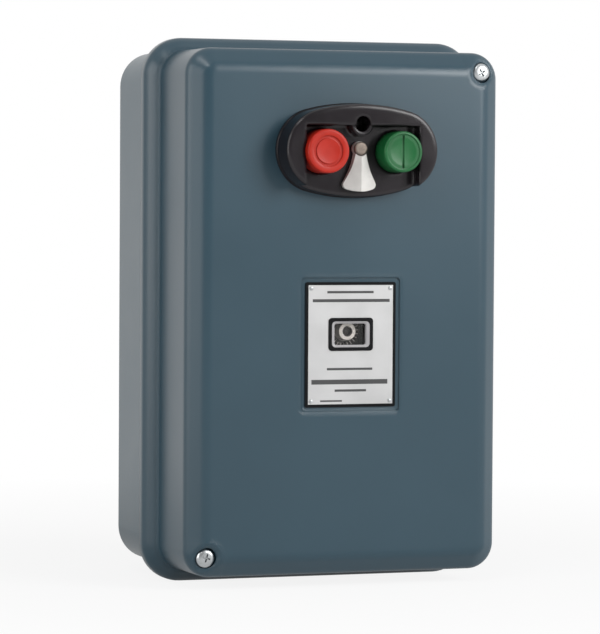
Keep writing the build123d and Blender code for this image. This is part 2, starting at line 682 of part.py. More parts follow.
def base_pan():
    """The pressed base: back, walls, the flange under the cover's rim, and four pads."""
    outer = prism(base_outline(0), 0, flange_front)
    outer = fillet(edges_at_depth(outer, 0), BASE_BACK_EDGE)
    inner = prism(base_outline(SHEET), SHEET, flange_front + 1)
    inner = fillet(edges_at_depth(inner, SHEET), BASE_BACK_EDGE - SHEET)
    pan = outer - inner
    flange = prism(base_outline(-flange_out), flange_front - SHEET, flange_front)
    pan += flange - prism(base_outline(SHEET), 0, flange_front + 1)
    for x, z in chassis_screw_places():
        pan += dished_pad(x + FITTINGS_X, z, 0)
        pan -= dished_pad(x + FITTINGS_X, z, SHEET)
        pan -= rod(SMALL_SCREW_RADIUS, 0, pad_top + 1, x + FITTINGS_X, z)
    for x in (-WALL_HOLE_SPACING_X / 2, WALL_HOLE_SPACING_X / 2):
        for z in (-WALL_HOLE_SPACING_Z / 2, WALL_HOLE_SPACING_Z / 2):
            pan -= rod(WALL_HOLE_RADIUS, -1, SHEET + 1, x, z)
    for x in (-CABLE_ENTRY_SPACING / 2, CABLE_ENTRY_SPACING / 2):
        pan -= Pos(x, -CABLE_ENTRY_DEPTH, 0) * Cylinder(CABLE_ENTRY_RADIUS, base_height + 10)
    return pan


def grommet(x, side, bored):
    """A rubber grommet or blank in a cable entry; side is -1 at the bottom, 1 at the top."""
    wall = base_height / 2
    nose = GROMMET_LIP + GROMMET_NOSE
    profile = Polyline(
        (0, SHEET + GROMMET_LIP),
        (0, -nose),
        (GROMMET_BORE + 1.4, -nose),
        (GROMMET_LIP_RADIUS, -GROMMET_LIP),
        (GROMMET_LIP_RADIUS, 0),
        (CABLE_ENTRY_RADIUS, 0),
        (CABLE_ENTRY_RADIUS, SHEET),
        (GROMMET_LIP_RADIUS - 0.6, SHEET),
        (GROMMET_LIP_RADIUS - 1.2, SHEET + GROMMET_LIP),
        close=True,
    )
    body = revolve(Plane.XZ * make_face(profile), Axis.Z)
    if bored:
        body -= Cylinder(GROMMET_BORE, 4 * nose)
    else:
        hollow = GROMMET_LIP_RADIUS
        body -= Pos(0, 0, hollow / 2 - GROMMET_LIP) * Cylinder(GROMMET_BORE + 1.0, hollow)
    turned = body if side < 0 else Rot(180, 0, 0) * body
    return Pos(x, -CABLE_ENTRY_DEPTH, side * wall) * turned


def pillars():
    """Welded pillars that the cover screws run into."""
    posts = []
    for x, z in screw_places:
        post = rod(PILLAR_RADIUS, SHEET, pillar_front, x, z)
        post += rod(PILLAR_FOOT, SHEET, SHEET + PILLAR_FOOT_HEIGHT, x, z)
        bore_end = pillar_front - COVER_SCREW_REACH - 2
        posts.append(post - rod(COVER_SCREW_RADIUS + THREAD_CLEARANCE, bore_end, pillar_front + 1, x, z))
    return posts


case["base_pan"] = base_pan()
entries = (-CABLE_ENTRY_SPACING / 2, CABLE_ENTRY_SPACING / 2)
case["cable_grommets"] = [grommet(x, -1, True) for x in entries]
case["blanking_grommets"] = [grommet(x, 1, False) for x in entries]
case["cover_pillars"] = pillars()


# ---------------------------------------------------------------------- rating plate, window
def rating_plate():
    """The plate, riveted in the cover's recess, with the window's opening through it."""
    back = PANEL_DEPTH - PLATE_RECESS
    plate = slab(PLATE_WIDTH, PLATE_HEIGHT, back, back + PLATE_THICKNESS, z=PLATE_Z, corner=PLATE_CORNER)
    plate -= window_opening(back - 1, back + 2)
    for x, z in rivet_places():
        plate -= rod(PLATE_RIVET_RADIUS / 2, back - 1, back + 2, x, z)
    return plate


def rivet_places():
    x = PLATE_WIDTH / 2 - PLATE_RIVET_INSET
    z = PLATE_HEIGHT / 2 - PLATE_RIVET_INSET
    return [(x, PLATE_Z + z), (-x, PLATE_Z - z)]


def plate_rivets():
    seat = PANEL_DEPTH - PLATE_RECESS + PLATE_THICKNESS
    shank = PLATE_RIVET_RADIUS / 2
    rivets = []
    for x, z in rivet_places():
        rivets.append(pan_screw(x, z, seat, shank, PLATE_RIVET_RADIUS, PLATE_RIVET_HEIGHT, PLATE_THICKNESS))
    return rivets


def window_outline(grown):
    """The window's clear outline, grown by grown on every side."""
    corner = WINDOW_CORNER - WINDOW_WALL + grown
    return RectangleRounded(WINDOW_WIDTH + 2 * grown, WINDOW_HEIGHT + 2 * grown, corner)


def window_frame():
    """The black frame: a lip on the plate and a wall through the cover."""
    seat = window_front - WINDOW_PROUD
    lip = prism(window_outline(WINDOW_WALL + WINDOW_LIP), seat, window_front, z=WINDOW_Z)
    wall = prism(window_outline(WINDOW_WALL), window_back, seat, z=WINDOW_Z)
    return lip + wall - prism(window_outline(0), window_back - 1, window_front + 1, z=WINDOW_Z)


def liner_outline(inset):
    return RectangleRounded(WINDOW_WIDTH - 2 * inset, WINDOW_HEIGHT - 2 * inset, LINER_CORNER)


def window_liner():
    """A grey ring that slopes in from the frame to the pane."""
    back = window_back + PANE_THICKNESS
    front = window_front - LINER_SET_BACK
    wide = at_depth(front) * Pos(0, WINDOW_Z) * liner_outline(LINER_EDGE)
    narrow = at_depth(back) * Pos(0, WINDOW_Z) * liner_outline(LINER_EDGE + LINER_SLOPE)
    return prism(window_outline(0), back, front, z=WINDOW_Z) - loft([narrow, wide], ruled=True)


def window_pane():
    return prism(window_outline(0), window_back, window_back + PANE_THICKNESS, z=WINDOW_Z)


fittings["rating_plate"] = rating_plate()
fittings["plate_rivets"] = plate_rivets()
fittings["window_frame"] = window_frame()
fittings["window_liner"] = window_liner()
fittings["window_pane"] = window_pane()


# ------------------------------------------------------------------------- push-button bezel
def tray_face(margin):
    """The sunk tray for the buttons, open below, made wider by margin at its sides and top."""
    high = TRAY_TOP + margin
    low = BEZEL_HALF_HEIGHT + 1
    return Pos(0, (high - low) / 2) * Rectangle(2 * (TRAY_HALF_WIDTH + margin), high + low)


def guide_bore(radius):
    return radius + BUTTON_CLEARANCE


buttons = ((stop_x, STOP_RADIUS), (start_x, START_RADIUS))


def bezel_wall(front, edge):
    """The bezel's drafted wall, solid, up to a rounded front edge."""
    wall = prism(bezel_oval(BEZEL_FLANGE_WIDTH), PANEL_DEPTH, front, z=BEZEL_Z, taper=BEZEL_DRAFT)
    return fillet(edges_at_depth(wall, front), edge)


def bezel():
    """The moulded oval: flange, drafted wall, open tray, two button guides and a screw boss."""
    wall_back = PANEL_DEPTH + BEZEL_FLANGE
    spigot_back = PANEL_DEPTH - BEZEL_SPIGOT_LENGTH
    flange = prism(bezel_oval(0), PANEL_DEPTH, wall_back, z=BEZEL_Z)
    hood = bezel_wall(bezel_front, BEZEL_EDGE)
    hood -= prism(tray_face(0), PANEL_DEPTH - 1, bezel_front + 1, z=BEZEL_Z)
    boss = rod(BEZEL_SCREW_BOSS, tray_depth - 1, bezel_front - BEZEL_EDGE, 0, bezel_screw_z)
    solid = fillet(edges_at_depth(flange, wall_back), BEZEL_FLANGE_EDGE)
    solid += bezel_wall(tray_depth, TRAY_EDGE) + hood + boss
    solid += prism(bezel_oval(BEZEL_SPIGOT_INSET), spigot_back, PANEL_DEPTH, z=BEZEL_Z)
    inside = bezel_oval(BEZEL_SPIGOT_INSET + BEZEL_WALL)
    hollow = prism(inside, spigot_back - 1, bezel_front - BEZEL_WALL, z=BEZEL_Z)
    hollow -= prism(tray_face(BEZEL_WALL), tray_depth - BEZEL_WALL, bezel_front, z=BEZEL_Z)
    for x, radius in buttons:
        guide = guide_bore(radius) + GUIDE_WALL
        hollow -= rod(guide, spigot_back - 1, tray_depth, x, button_z)
        solid += rod(guide, guide_end, spigot_back, x, button_z)
    hollow -= rod(BEZEL_SCREW_BOSS, spigot_back - 1, bezel_front, 0, bezel_screw_z)
    hollow -= rod(PIVOT_BOSS, tray_depth - PIVOT_DEPTH - 1, tray_depth, 0, pivot_z)
    solid -= hollow
    for x, radius in buttons:
        solid -= rod(guide_bore(radius), guide_floor, bezel_front + 1, x, button_z)
        solid -= rod(BUTTON_STEM_RADIUS + STEM_CLEARANCE, guide_end - 1, guide_floor, x, button_z)
    solid -= rod(BEZEL_SCREW_BORE, bezel_screw_head, bezel_front + 1, 0, bezel_screw_z)
    solid -= rod(BEZEL_SCREW_RADIUS + STEM_CLEARANCE, spigot_back - 1, bezel_screw_head, 0, bezel_screw_z)
    return solid - rod(PIVOT_RADIUS, tray_depth - PIVOT_DEPTH, tray_depth + 1, 0, pivot_z)


def bezel_clamp():
    """A steel frame that grips the cover's edge behind the bezel, with a strap for the screw."""
    outline = bezel_oval(BEZEL_SPIGOT_INSET - CLAMP_OVERLAP) - bezel_oval(BEZEL_SPIGOT_INSET)
    reach = BEZEL_HALF_HEIGHT - BEZEL_SPIGOT_INSET
    clamp = prism(outline, panel_back - CLAMP_SHEET, panel_back, z=BEZEL_Z)
    clamp += slab(STRAP_WIDTH, 2 * (reach + CLAMP_SHEET), strap_back, strap_back + CLAMP_SHEET, z=BEZEL_Z)
    for side in (-1, 1):
        leg_z = BEZEL_Z + side * (reach + CLAMP_SHEET / 2)
        clamp += slab(STRAP_WIDTH, CLAMP_SHEET, strap_back, panel_back, z=leg_z)
    return clamp - rod(BEZEL_SCREW_RADIUS, strap_back - 1, strap_back + 3, 0, bezel_screw_z)


def bezel_screw():
    reach = bezel_screw_head - strap_back + 1.0
    head = (BEZEL_SCREW_HEAD, BEZEL_SCREW_HEAD_HEIGHT)
    return pan_screw(0, bezel_screw_z, bezel_screw_head, BEZEL_SCREW_RADIUS, *head, reach)


def button(x, radius):
    """A hollow moulded button with a guide stem; its face is finished by the caller."""
    skirt = rod(radius, button_back, button_face, x, button_z)
    skirt = fillet(edges_at_depth(skirt, button_face), BUTTON_EDGE)
    skirt -= rod(radius - BUTTON_WALL, button_back - 1, button_face - BUTTON_CROWN, x, button_z)
    return skirt + rod(BUTTON_STEM_RADIUS, stem_end, button_face - BUTTON_CROWN / 2, x, button_z)


def stop_button():
    """The stop button, with the ring that marks it cut into its face."""
    body = button(stop_x, STOP_RADIUS)
    groove_floor = button_face - BUTTON_GROOVE
    return body - tube(STOP_RING_OUTER, STOP_RING_INNER, groove_floor, button_face + 1, stop_x, button_z)


def start_button():
    """The start button: a shallow dish with the bar that marks it cut across."""
    body = button(start_x, START_RADIUS)
    dish_floor = button_face - START_DISH
    body -= rod(START_RADIUS - START_RIM, dish_floor, button_face + 1, start_x, button_z)
    groove_floor = dish_floor - BUTTON_GROOVE
    return body - slab(START_BAR_WIDTH, START_BAR_LENGTH, groove_floor, button_face, start_x, button_z)


def button_spring(x, radius):
    """The sleeve of a coil spring round a button's stem, inside its skirt."""
    outer = radius - BUTTON_WALL - SPRING_CLEARANCE
    inner = BUTTON_STEM_RADIUS + SPRING_CLEARANCE
    return tube(outer, inner, guide_floor, button_face - BUTTON_CROWN, x, button_z)


def stem_clip(x):
    """The split ring that stops a button from leaving its guide."""
    ring = tube(CLIP_RADIUS, BUTTON_STEM_RADIUS, guide_end - CLIP_THICKNESS, guide_end, x, button_z)
    gap_z = button_z - (CLIP_RADIUS + BUTTON_STEM_RADIUS) / 2
    return ring - slab(CLIP_GAP, CLIP_RADIUS, guide_end - 2, guide_end + 1, x, gap_z)


def lever_outline():
    """The locking lever seen from the front: a round hub that flares to a wide rounded tail."""
    hub_z = -sqrt(LEVER_HUB**2 - LEVER_NECK**2)
    tail_z = -sqrt(LEVER_LENGTH**2 - LEVER_TAIL**2)
    waist = (0.45 * LEVER_TAIL, 0.45 * tail_z)
    flare = (0.68 * LEVER_TAIL, 0.72 * tail_z)
    right = Spline((LEVER_NECK, hub_z), waist, flare, (LEVER_TAIL, tail_z))
    left = mirror(right, Plane.YZ)
    crown = ThreePointArc((-LEVER_NECK, hub_z), (0, LEVER_HUB), (LEVER_NECK, hub_z))
    tail = ThreePointArc((-LEVER_TAIL, tail_z), (0, -LEVER_LENGTH), (LEVER_TAIL, tail_z))
    outline = make_face([crown, right, tail, left])
    corners = [vertex for vertex in outline.vertices() if abs(vertex.Y - tail_z) < 0.01]
    return fillet(corners, LEVER_CORNER)


def lock_lever():
    """The lever: a ridge runs down its middle and its two faces fall away to thin edges."""
    body = prism(lever_outline(), lever_back, lever_back + LEVER_RIDGE, 0, pivot_z)
    skirt = lever_back + LEVER_SKIRT
    slope = (LEVER_RIDGE - LEVER_SKIRT) / LEVER_TAIL
    reach = 2 * LEVER_TAIL
    roof = Polyline(
        (-reach, -lever_back + 1),
        (reach, -lever_back + 1),
        (reach, -skirt + slope * (reach - LEVER_TAIL)),
        (0, -lever_back - LEVER_RIDGE),
        (-reach, -skirt + slope * (reach - LEVER_TAIL)),
        close=True,
    )
    body &= Pos(0, 0, pivot_z - LEVER_LENGTH - 1) * extrude(make_face(roof), 3 * LEVER_LENGTH)
    body -= rod(PIVOT_HEAD + SINK_CLEARANCE, lever_sink, lever_back + 2 * LEVER_RIDGE, 0, pivot_z)
    return body - rod(PIVOT_RADIUS + PIVOT_CLEARANCE, lever_back - 1, lever_sink + 1, 0, pivot_z)


def lever_pivot():
    """The headed pin, pressed into the bezel, that the lever turns on."""
    seat = lever_sink + HEAD_CLEARANCE
    reach = seat - tray_depth + PIVOT_DEPTH - 0.5
    return pan_screw(0, pivot_z, seat, PIVOT_RADIUS, PIVOT_HEAD, PIVOT_HEAD_HEIGHT, reach)


fittings["bezel"] = bezel()
fittings["bezel_clamp"] = bezel_clamp()
fittings["bezel_screw"] = bezel_screw()
fittings["stop_button"] = stop_button()
fittings["start_button"] = start_button()
fittings["stop_spring"] = button_spring(stop_x, STOP_RADIUS)
fittings["start_spring"] = button_spring(start_x, START_RADIUS)
fittings["stop_clip"] = stem_clip(stop_x)
fittings["start_clip"] = stem_clip(start_x)
fittings["lock_lever"] = lock_lever()
fittings["lever_pivot"] = lever_pivot()


# ----------------------------------------------------------------------------------- chassis
def mounting_plate():
    """The plate on the base's pads that carries the contactor and the relay."""
    middle = (chassis_top + chassis_bottom) / 2
    plate = slab(
        CHASSIS_WIDTH, chassis_top - chassis_bottom, pad_top, chassis_front, z=middle, corner=CHASSIS_CORNER
    )
    for x, z in chassis_screw_places() + device_screw_places():
        plate -= rod(SMALL_SCREW_RADIUS, pad_top - 1, chassis_front + 1, x, z)
    return plate


def device_screw_places():
    """Where the contactor and the relay are screwed to the mounting plate."""
    places = []
    for x in (-FOOT_SCREW_X, FOOT_SCREW_X):
        for side in (-1, 1):
            places.append((x, CONTACTOR_Z + side * (CONTACTOR_FEET / 2 - FOOT_SCREW_INSET)))
        places.append((x, relay_bottom - RELAY_FOOT / 2))
    return places


def small_screws(places, seat, reach):
    head = (SMALL_SCREW_HEAD, SMALL_SCREW_HEAD_HEIGHT)
    return [pan_screw(x, z, seat, SMALL_SCREW_RADIUS, *head, reach) for x, z in places]


def mounting_screws():
    """The screws into the base's pads, and those that hold the contactor and the relay."""
    into_pads = small_screws(chassis_screw_places(), chassis_front, PAD_SCREW_REACH)
    foot_front = chassis_front + FOOT_THICKNESS
    return into_pads + small_screws(device_screw_places(), foot_front, FOOT_THICKNESS + CHASSIS_SHEET + 0.4)


fittings["mounting_plate"] = mounting_plate()
fittings["mounting_screws"] = mounting_screws()


# --------------------------------------------------------------------------------- contactor
def contactor_base():
    """The magnet's box, with feet above and below that are screwed to the mounting plate."""
    foot_front = chassis_front + FOOT_THICKNESS
    front = magnet_box_front
    base = slab(MAGNET_BOX_WIDTH, CONTACTOR_FEET, chassis_front, foot_front, z=CONTACTOR_Z, corner=3.0)
    base += slab(MAGNET_BOX_WIDTH, MAGNET_BOX_HEIGHT, chassis_front, front, z=CONTACTOR_Z, corner=2.5)
    hollow = (MAGNET_BOX_WIDTH - 2 * MOULDING_WALL, MAGNET_BOX_HEIGHT - 2 * MOULDING_WALL)
    base -= slab(*hollow, core_back, front + 1, z=CONTACTOR_Z, corner=1.5)
    for side in (-1, 1):
        base += rod(SPRING_SEAT, core_back, magnet_box_front, side * RETURN_SPRING_X, CONTACTOR_Z)
    for x, z in device_screw_places():
        base -= rod(SMALL_SCREW_RADIUS, chassis_front - 1, foot_front + 5, x, z)
        base -= rod(SMALL_SCREW_HEAD + HEAD_ROOM, foot_front, foot_front + 5, x, z)
    return base


def fin_places():
    return [(index - 1.5) * POLE_PITCH for index in range(4)]


def terminal_barriers():
    """Fins that part one terminal from the next, at both ends of the contactor."""
    length = (CONTACTOR_HEIGHT - CONTACT_BOX_HEIGHT) / 2 + 2
    fins = []
    for x in fin_places():
        for side in (-1, 1):
            z = CONTACTOR_Z + side * (CONTACTOR_HEIGHT - length) / 2
            fins.append(slab(BARRIER_THICKNESS, length, terminal_step - 1, barrier_front, x, z))
    return fins


def contactor_moulding():
    """The body in front of the magnet: three contact chambers, a channel for the carrier."""
    back = magnet_box_front
    body = slab(CONTACTOR_WIDTH, CONTACTOR_HEIGHT, back, terminal_step, z=CONTACTOR_Z, corner=2.5)
    body += slab(
        CONTACTOR_WIDTH, CONTACT_BOX_HEIGHT, terminal_step, contactor_front, z=CONTACTOR_Z, corner=2.0
    )
    for fin in terminal_barriers():
        body += fin
    body -= slab(
        CORE_WIDTH + 2 * ARMATURE_SIDE_ROOM, CORE_STACK + 2 * ARMATURE_END_ROOM, back - 1,
        armature_front + CARRIER_TOP_GAP, z=CONTACTOR_Z, corner=1.0,
    )
    inner_front = contactor_front - MOULDING_WALL
    inner_height = CONTACT_BOX_HEIGHT - 2 * MOULDING_WALL
    slot = CONTACTOR_HEIGHT / 2 - STRIP_INNER
    for x in poles:
        body -= slab(chamber_width, inner_height, chamber_floor, inner_front, x, CONTACTOR_Z, corner=1.0)
        for side in (-1, 1):
            z = CONTACTOR_Z + side * (CONTACTOR_HEIGHT - slot) / 2
            body -= slab(STRIP_WIDTH + SLOT_CLEARANCE, slot, terminal_step, strip_front, x, z)
            z = CONTACTOR_Z + side * terminal_z
            body -= rod(TERMINAL_SCREW, terminal_step - TERMINAL_HOLE, terminal_step + 1, x, z)
    gap = 2 * CARRIER_SIDE_GAP
    body -= slab(CARRIER_WIDTH + gap, CARRIER_WINDOW + gap, armature_front - 1, inner_front, z=CONTACTOR_Z)
    gap = 2 * INDICATOR_SIDE_GAP
    return body - slab(
        INDICATOR_WIDTH + gap, INDICATOR_HEIGHT + gap, inner_front - 1, contactor_front + 1, z=CONTACTOR_Z
    )


def cut_at(shape, depth, front):
    """The half of a moulding behind or in front of a depth."""
    back, end = (depth, PANEL_DEPTH) if front else (0, depth)
    return shape & slab(COVER_WIDTH, COVER_HEIGHT, back, end)


moulding = contactor_moulding()


def leg_slots(back, front):
    """The two slots between the three legs of the magnet."""
    width = (CORE_WIDTH - CORE_CENTRE_LEG - 2 * CORE_OUTER_LEG) / 2
    x = (CORE_CENTRE_LEG + width) / 2
    return [slab(width, CORE_STACK + 2, back, front, side * x, CONTACTOR_Z) for side in (-1, 1)]


def fixed_core():
    """The laminated E-shaped core that the coil pulls the armature down to."""
    core = slab(CORE_WIDTH, CORE_STACK, core_back, core_front, z=CONTACTOR_Z)
    for slot in leg_slots(core_back + CORE_YOKE, core_front + 1):
        core -= slot
    ring_back = core_front - SHADING_DEPTH
    outer = CORE_OUTER_LEG - 2 * SHADING_INSET
    inner = outer - 2 * SHADING_WIDTH
    for side in (-1, 1):
        x = side * (CORE_WIDTH - CORE_OUTER_LEG) / 2
        groove = slab(outer, CORE_STACK + 2, ring_back, core_front + 1, x, CONTACTOR_Z)
        core -= groove - slab(inner, CORE_STACK + 3, ring_back - 1, core_front + 2, x, CONTACTOR_Z)
    return core


def coil_ring(outer, inner, back, front, corner):
    """A block round the magnet's centre leg, grown from the leg by outer and open by inner."""
    width = CORE_CENTRE_LEG + 2 * outer
    height = CORE_STACK + 2 * outer
    ring = slab(width, height, back, front, z=CONTACTOR_Z, corner=corner)
    opening = (CORE_CENTRE_LEG + 2 * inner, CORE_STACK + 2 * inner)
    return ring - slab(*opening, back - 1, front + 1, z=CONTACTOR_Z)


def coil_bobbin():
    """The moulded former round the centre leg: a sleeve and two flanges."""
    sleeve = COIL_CLEARANCE + COIL_WALL
    flange = sleeve + COIL_BUILD
    former = coil_ring(flange, COIL_CLEARANCE, coil_back, coil_back + COIL_WALL, 2.0)
    former += coil_ring(flange, COIL_CLEARANCE, coil_front - COIL_WALL, coil_front, 2.0)
    return former + coil_ring(sleeve, COIL_CLEARANCE, coil_back, coil_front, 1.0)


def coil_winding():
    sleeve = COIL_CLEARANCE + COIL_WALL
    outer = sleeve + COIL_BUILD - COIL_MARGIN
    return coil_ring(outer, sleeve, coil_back + COIL_WALL, coil_front - COIL_WALL, 4.0)


def armature():
    """The moving half of the magnet, E-shaped, with legs that meet the fixed core's."""
    body = slab(CORE_WIDTH, CORE_STACK, armature_back, armature_front, z=CONTACTOR_Z)
    for slot in leg_slots(armature_back - 1, armature_back + ARMATURE_LEG):
        body -= slot
    return body


def contact_carrier():
    """The moulded crossbar fixed to the armature; each pole's bridge floats in a window."""
    carrier = slab(CARRIER_WIDTH, CARRIER_WINDOW, armature_front, carrier_front, z=CONTACTOR_Z)
    indicator_front = contactor_front - INDICATOR_SET_BACK
    carrier += slab(INDICATOR_WIDTH, INDICATOR_HEIGHT, carrier_front, indicator_front, z=CONTACTOR_Z)
    width = BRIDGE_WIDTH + 2 * BRIDGE_SIDE_GAP
    for x in poles:
        window_end = carrier_front - CARRIER_RAIL
        carrier -= slab(width, CARRIER_WINDOW + 2, bridge_back, window_end, x, CONTACTOR_Z)
    return carrier


def moving_contacts():
    """A bridge and its two tips for each pole."""
    bridges = []
    length = 2 * (tip_z + TIP_RADIUS + TIP_INSET)
    for x in poles:
        bridge = slab(BRIDGE_WIDTH, length, bridge_back, bridge_front, x, CONTACTOR_Z, corner=1.2)
        for z in (CONTACTOR_Z - tip_z, CONTACTOR_Z + tip_z):
            bridge += rod(TIP_RADIUS, bridge_back - TIP_HEIGHT, bridge_back, x, z)
        bridges.append(bridge)
    return bridges


def contact_springs():
    outer = CONTACT_SPRING_RADIUS
    front = carrier_front - CARRIER_RAIL
    return [tube(outer, outer - CONTACT_SPRING_WIRE, bridge_front, front, x, CONTACTOR_Z) for x in poles]


def fixed_contacts():
    """Two strips a pole, each from a terminal to a silver tip inside the chamber."""
    strips = []
    length = CONTACTOR_HEIGHT / 2 - STRIP_END_INSET - STRIP_INNER
    for x in poles:
        for side in (-1, 1):
            z = CONTACTOR_Z + side * (STRIP_INNER + length / 2)
            strip = slab(STRIP_WIDTH, length, terminal_step, strip_front, x, z, corner=0.6)
            strip += rod(TIP_RADIUS, strip_front, strip_front + TIP_HEIGHT, x, CONTACTOR_Z + side * tip_z)
            hole_z = CONTACTOR_Z + side * terminal_z
            strips.append(strip - rod(TERMINAL_SCREW, terminal_step - 1, strip_front + 1, x, hole_z))
    return strips


def terminal_screws():
    """Line screws above, load screws that hold the relay's links, and the relay's own."""
    places = [(x, CONTACTOR_Z + side * terminal_z) for x in poles for side in (-1, 1)]
    seats = [(x, z, strip_front + STRIP_THICKNESS) for x, z in places]
    seats += [(x, load_screw_z, relay_step_depth + STRIP_THICKNESS) for x in poles]
    head = (TERMINAL_HEAD, TERMINAL_HEAD_HEIGHT)
    return [pan_screw(x, z, seat, TERMINAL_SCREW, *head, TERMINAL_REACH) for x, z, seat in seats]


def line_clamps():
    clamps = []
    front = strip_front + STRIP_THICKNESS
    for x in poles:
        clamp = slab(STRIP_WIDTH, STRIP_WIDTH, strip_front, front, x, CONTACTOR_Z + terminal_z, corner=0.8)
        clamps.append(clamp - rod(TERMINAL_SCREW, strip_front - 1, front + 1, x, CONTACTOR_Z + terminal_z))
    return clamps


def return_springs():
    outer = RETURN_SPRING_RADIUS
    inner = outer - RETURN_SPRING_WIRE
    places = (-RETURN_SPRING_X, RETURN_SPRING_X)
    return [tube(outer, inner, magnet_box_front, armature_front, x, CONTACTOR_Z) for x in places]


fittings["contactor_base"] = contactor_base()
fittings["contactor_housing"] = cut_at(moulding, arc_cover_back, False)
fittings["arc_cover"] = cut_at(moulding, arc_cover_back, True)
fittings["fixed_core"] = fixed_core()
fittings["coil_bobbin"] = coil_bobbin()
fittings["coil_winding"] = coil_winding()
fittings["armature"] = armature()
fittings["contact_carrier"] = contact_carrier()
fittings["moving_contacts"] = moving_contacts()
fittings["contact_springs"] = contact_springs()
fittings["fixed_contacts"] = fixed_contacts()
fittings["line_clamps"] = line_clamps()
fittings["return_springs"] = return_springs()


# ---------------------------------------------------------------------------- overload relay
def link_slot(height, back, x, z):
    """The slot in the relay's moulding that a copper link or strip lies in."""
    return slab(LINK_WIDTH + SLOT_CLEARANCE, height, back, back + STRIP_THICKNESS, x, z)


def relay_body():
    """The relay's moulding: three heater chambers open to the front, and a terminal step."""
    foot_front = chassis_front + FOOT_THICKNESS
    body = slab(RELAY_WIDTH, RELAY_HEIGHT, chassis_front, relay_body_front, z=relay_z, corner=2.5)
    body -= slab(RELAY_WIDTH + 2, RELAY_STEP, relay_step_depth, relay_body_front + 1, z=load_screw_z)
    body += slab(
        RELAY_WIDTH - 2 * RELAY_FOOT_INSET, RELAY_FOOT + 5, chassis_front, foot_front,
        z=relay_bottom - RELAY_FOOT / 2 + 2.5, corner=2.0,
    )
    fin_front = relay_body_front - RELAY_FIN_DROP
    for x in fin_places():
        body += slab(BARRIER_THICKNESS, RELAY_STEP + 1, relay_step_depth - 1, fin_front, x, load_screw_z)
    chamber_back = chassis_front + RELAY_BACK_WALL
    for x in poles:
        body -= slab(
            chamber_width, relay_chamber_height, chamber_back, relay_body_front + 1, x, relay_chamber_z,
            corner=1.0,
        )
        body -= link_slot(2 * LINK_NOTCH, strip_front, x, relay_top)
        body -= link_slot(RELAY_STEP + 5, relay_step_depth, x, load_screw_z + 2.5)
        body -= rod(TERMINAL_SCREW, relay_step_depth - TERMINAL_HOLE, relay_step_depth + 1, x, load_screw_z)
    half = TRIP_BAR_DEPTH / 2 + TRIP_BAR_CLEARANCE
    body -= slab(
        2 * (TRIP_BAR_SIDE + TRIP_BAR_CLEARANCE), TRIP_BAR_HEIGHT + 2 * TRIP_BAR_CLEARANCE,
        bimetal_depth - half, bimetal_depth + half, TRIP_TRAVEL / 2, trip_bar_z,
    )
    for x, z in device_screw_places():
        body -= rod(SMALL_SCREW_RADIUS, chassis_front - 1, foot_front + 1, x, z)
    return body


def relay_lid():
    """The relay's front, with a turret that brings the dial up to the window."""
    z = (relay_top + relay_step_top) / 2
    height = relay_top - relay_step_top
    inside = relay_lid_front - MOULDING_WALL
    lid = slab(RELAY_WIDTH, height, relay_body_front, relay_lid_front, z=z, corner=2.5)
    lid = fillet(edges_at_depth(lid, relay_lid_front), RELAY_LID_EDGE)
    hollow = (RELAY_WIDTH - 2 * MOULDING_WALL, height - 2 * MOULDING_WALL)
    lid -= slab(*hollow, relay_body_front - 1, inside, z=z, corner=1.0)
    turret = slab(TURRET_WIDTH, TURRET_HEIGHT, inside, turret_front, z=dial_z, corner=3.0)
    lid += fillet(edges_at_depth(turret, turret_front), TURRET_EDGE)
    shaft_end = turret_front - DIAL_SHAFT_LENGTH
    lid -= rod(DIAL_SHAFT + DIAL_CLEARANCE, shaft_end - 1, turret_front + 1, 0, dial_z)
    pin_bore = RESET_PIN_RADIUS + PLUNGER_CLEARANCE
    lid -= rod(pin_bore, relay_body_front, relay_lid_front + 1, stop_x, reset_pin_z)
    for x, z in control_screw_places():
        lid -= rod(CONTROL_SCREW, inside, relay_lid_front + 1, x, z)
    return lid


def control_screw_places():
    """Two control terminals on each side of the relay's front."""
    x = RELAY_WIDTH / 2 - CONTROL_TERMINAL_INSET
    high = relay_top - CONTROL_TERMINAL_DROP
    return [(side * x, z) for side in (-1, 1) for z in (high, high - CONTROL_TERMINAL_PITCH)]


def relay_links():
    """Copper bars from the heaters up to the contactor's load terminals."""
    links = []
    screw_z = CONTACTOR_Z - terminal_z
    top = screw_z + LINK_END
    front = strip_front + STRIP_THICKNESS
    tab_z = strip_end_z + STRIP_THICKNESS / 2
    for x in poles:
        bar = slab(LINK_WIDTH, top - strip_end_z, strip_front, front, x, (top + strip_end_z) / 2)
        bar += slab(LINK_WIDTH, STRIP_THICKNESS, bimetal_depth - BIMETAL_WIDTH / 2, front, x, tab_z)
        links.append(bar - rod(TERMINAL_SCREW, strip_front - 1, front + 1, x, screw_z))
    return links


def load_strips():
    strips = []
    back = relay_step_depth
    front = relay_step_depth + STRIP_THICKNESS
    z = load_screw_z + 2.5
    for x in poles:
        strip = slab(LINK_WIDTH, RELAY_STEP + 3.0, back, front, x, z, corner=0.5)
        strips.append(strip - rod(TERMINAL_SCREW, back - 1, front + 1, x, load_screw_z))
    return strips


def bimetal_strips():
    """Three strips, fixed at the top, whose free ends bend sideways as they warm."""
    length = strip_end_z - bimetal_bottom
    strip = Box(BIMETAL_THICKNESS, BIMETAL_WIDTH, length)
    z = (strip_end_z + bimetal_bottom) / 2
    return [Pos(x - BIMETAL_SHIFT, -bimetal_depth, z) * strip for x in poles]


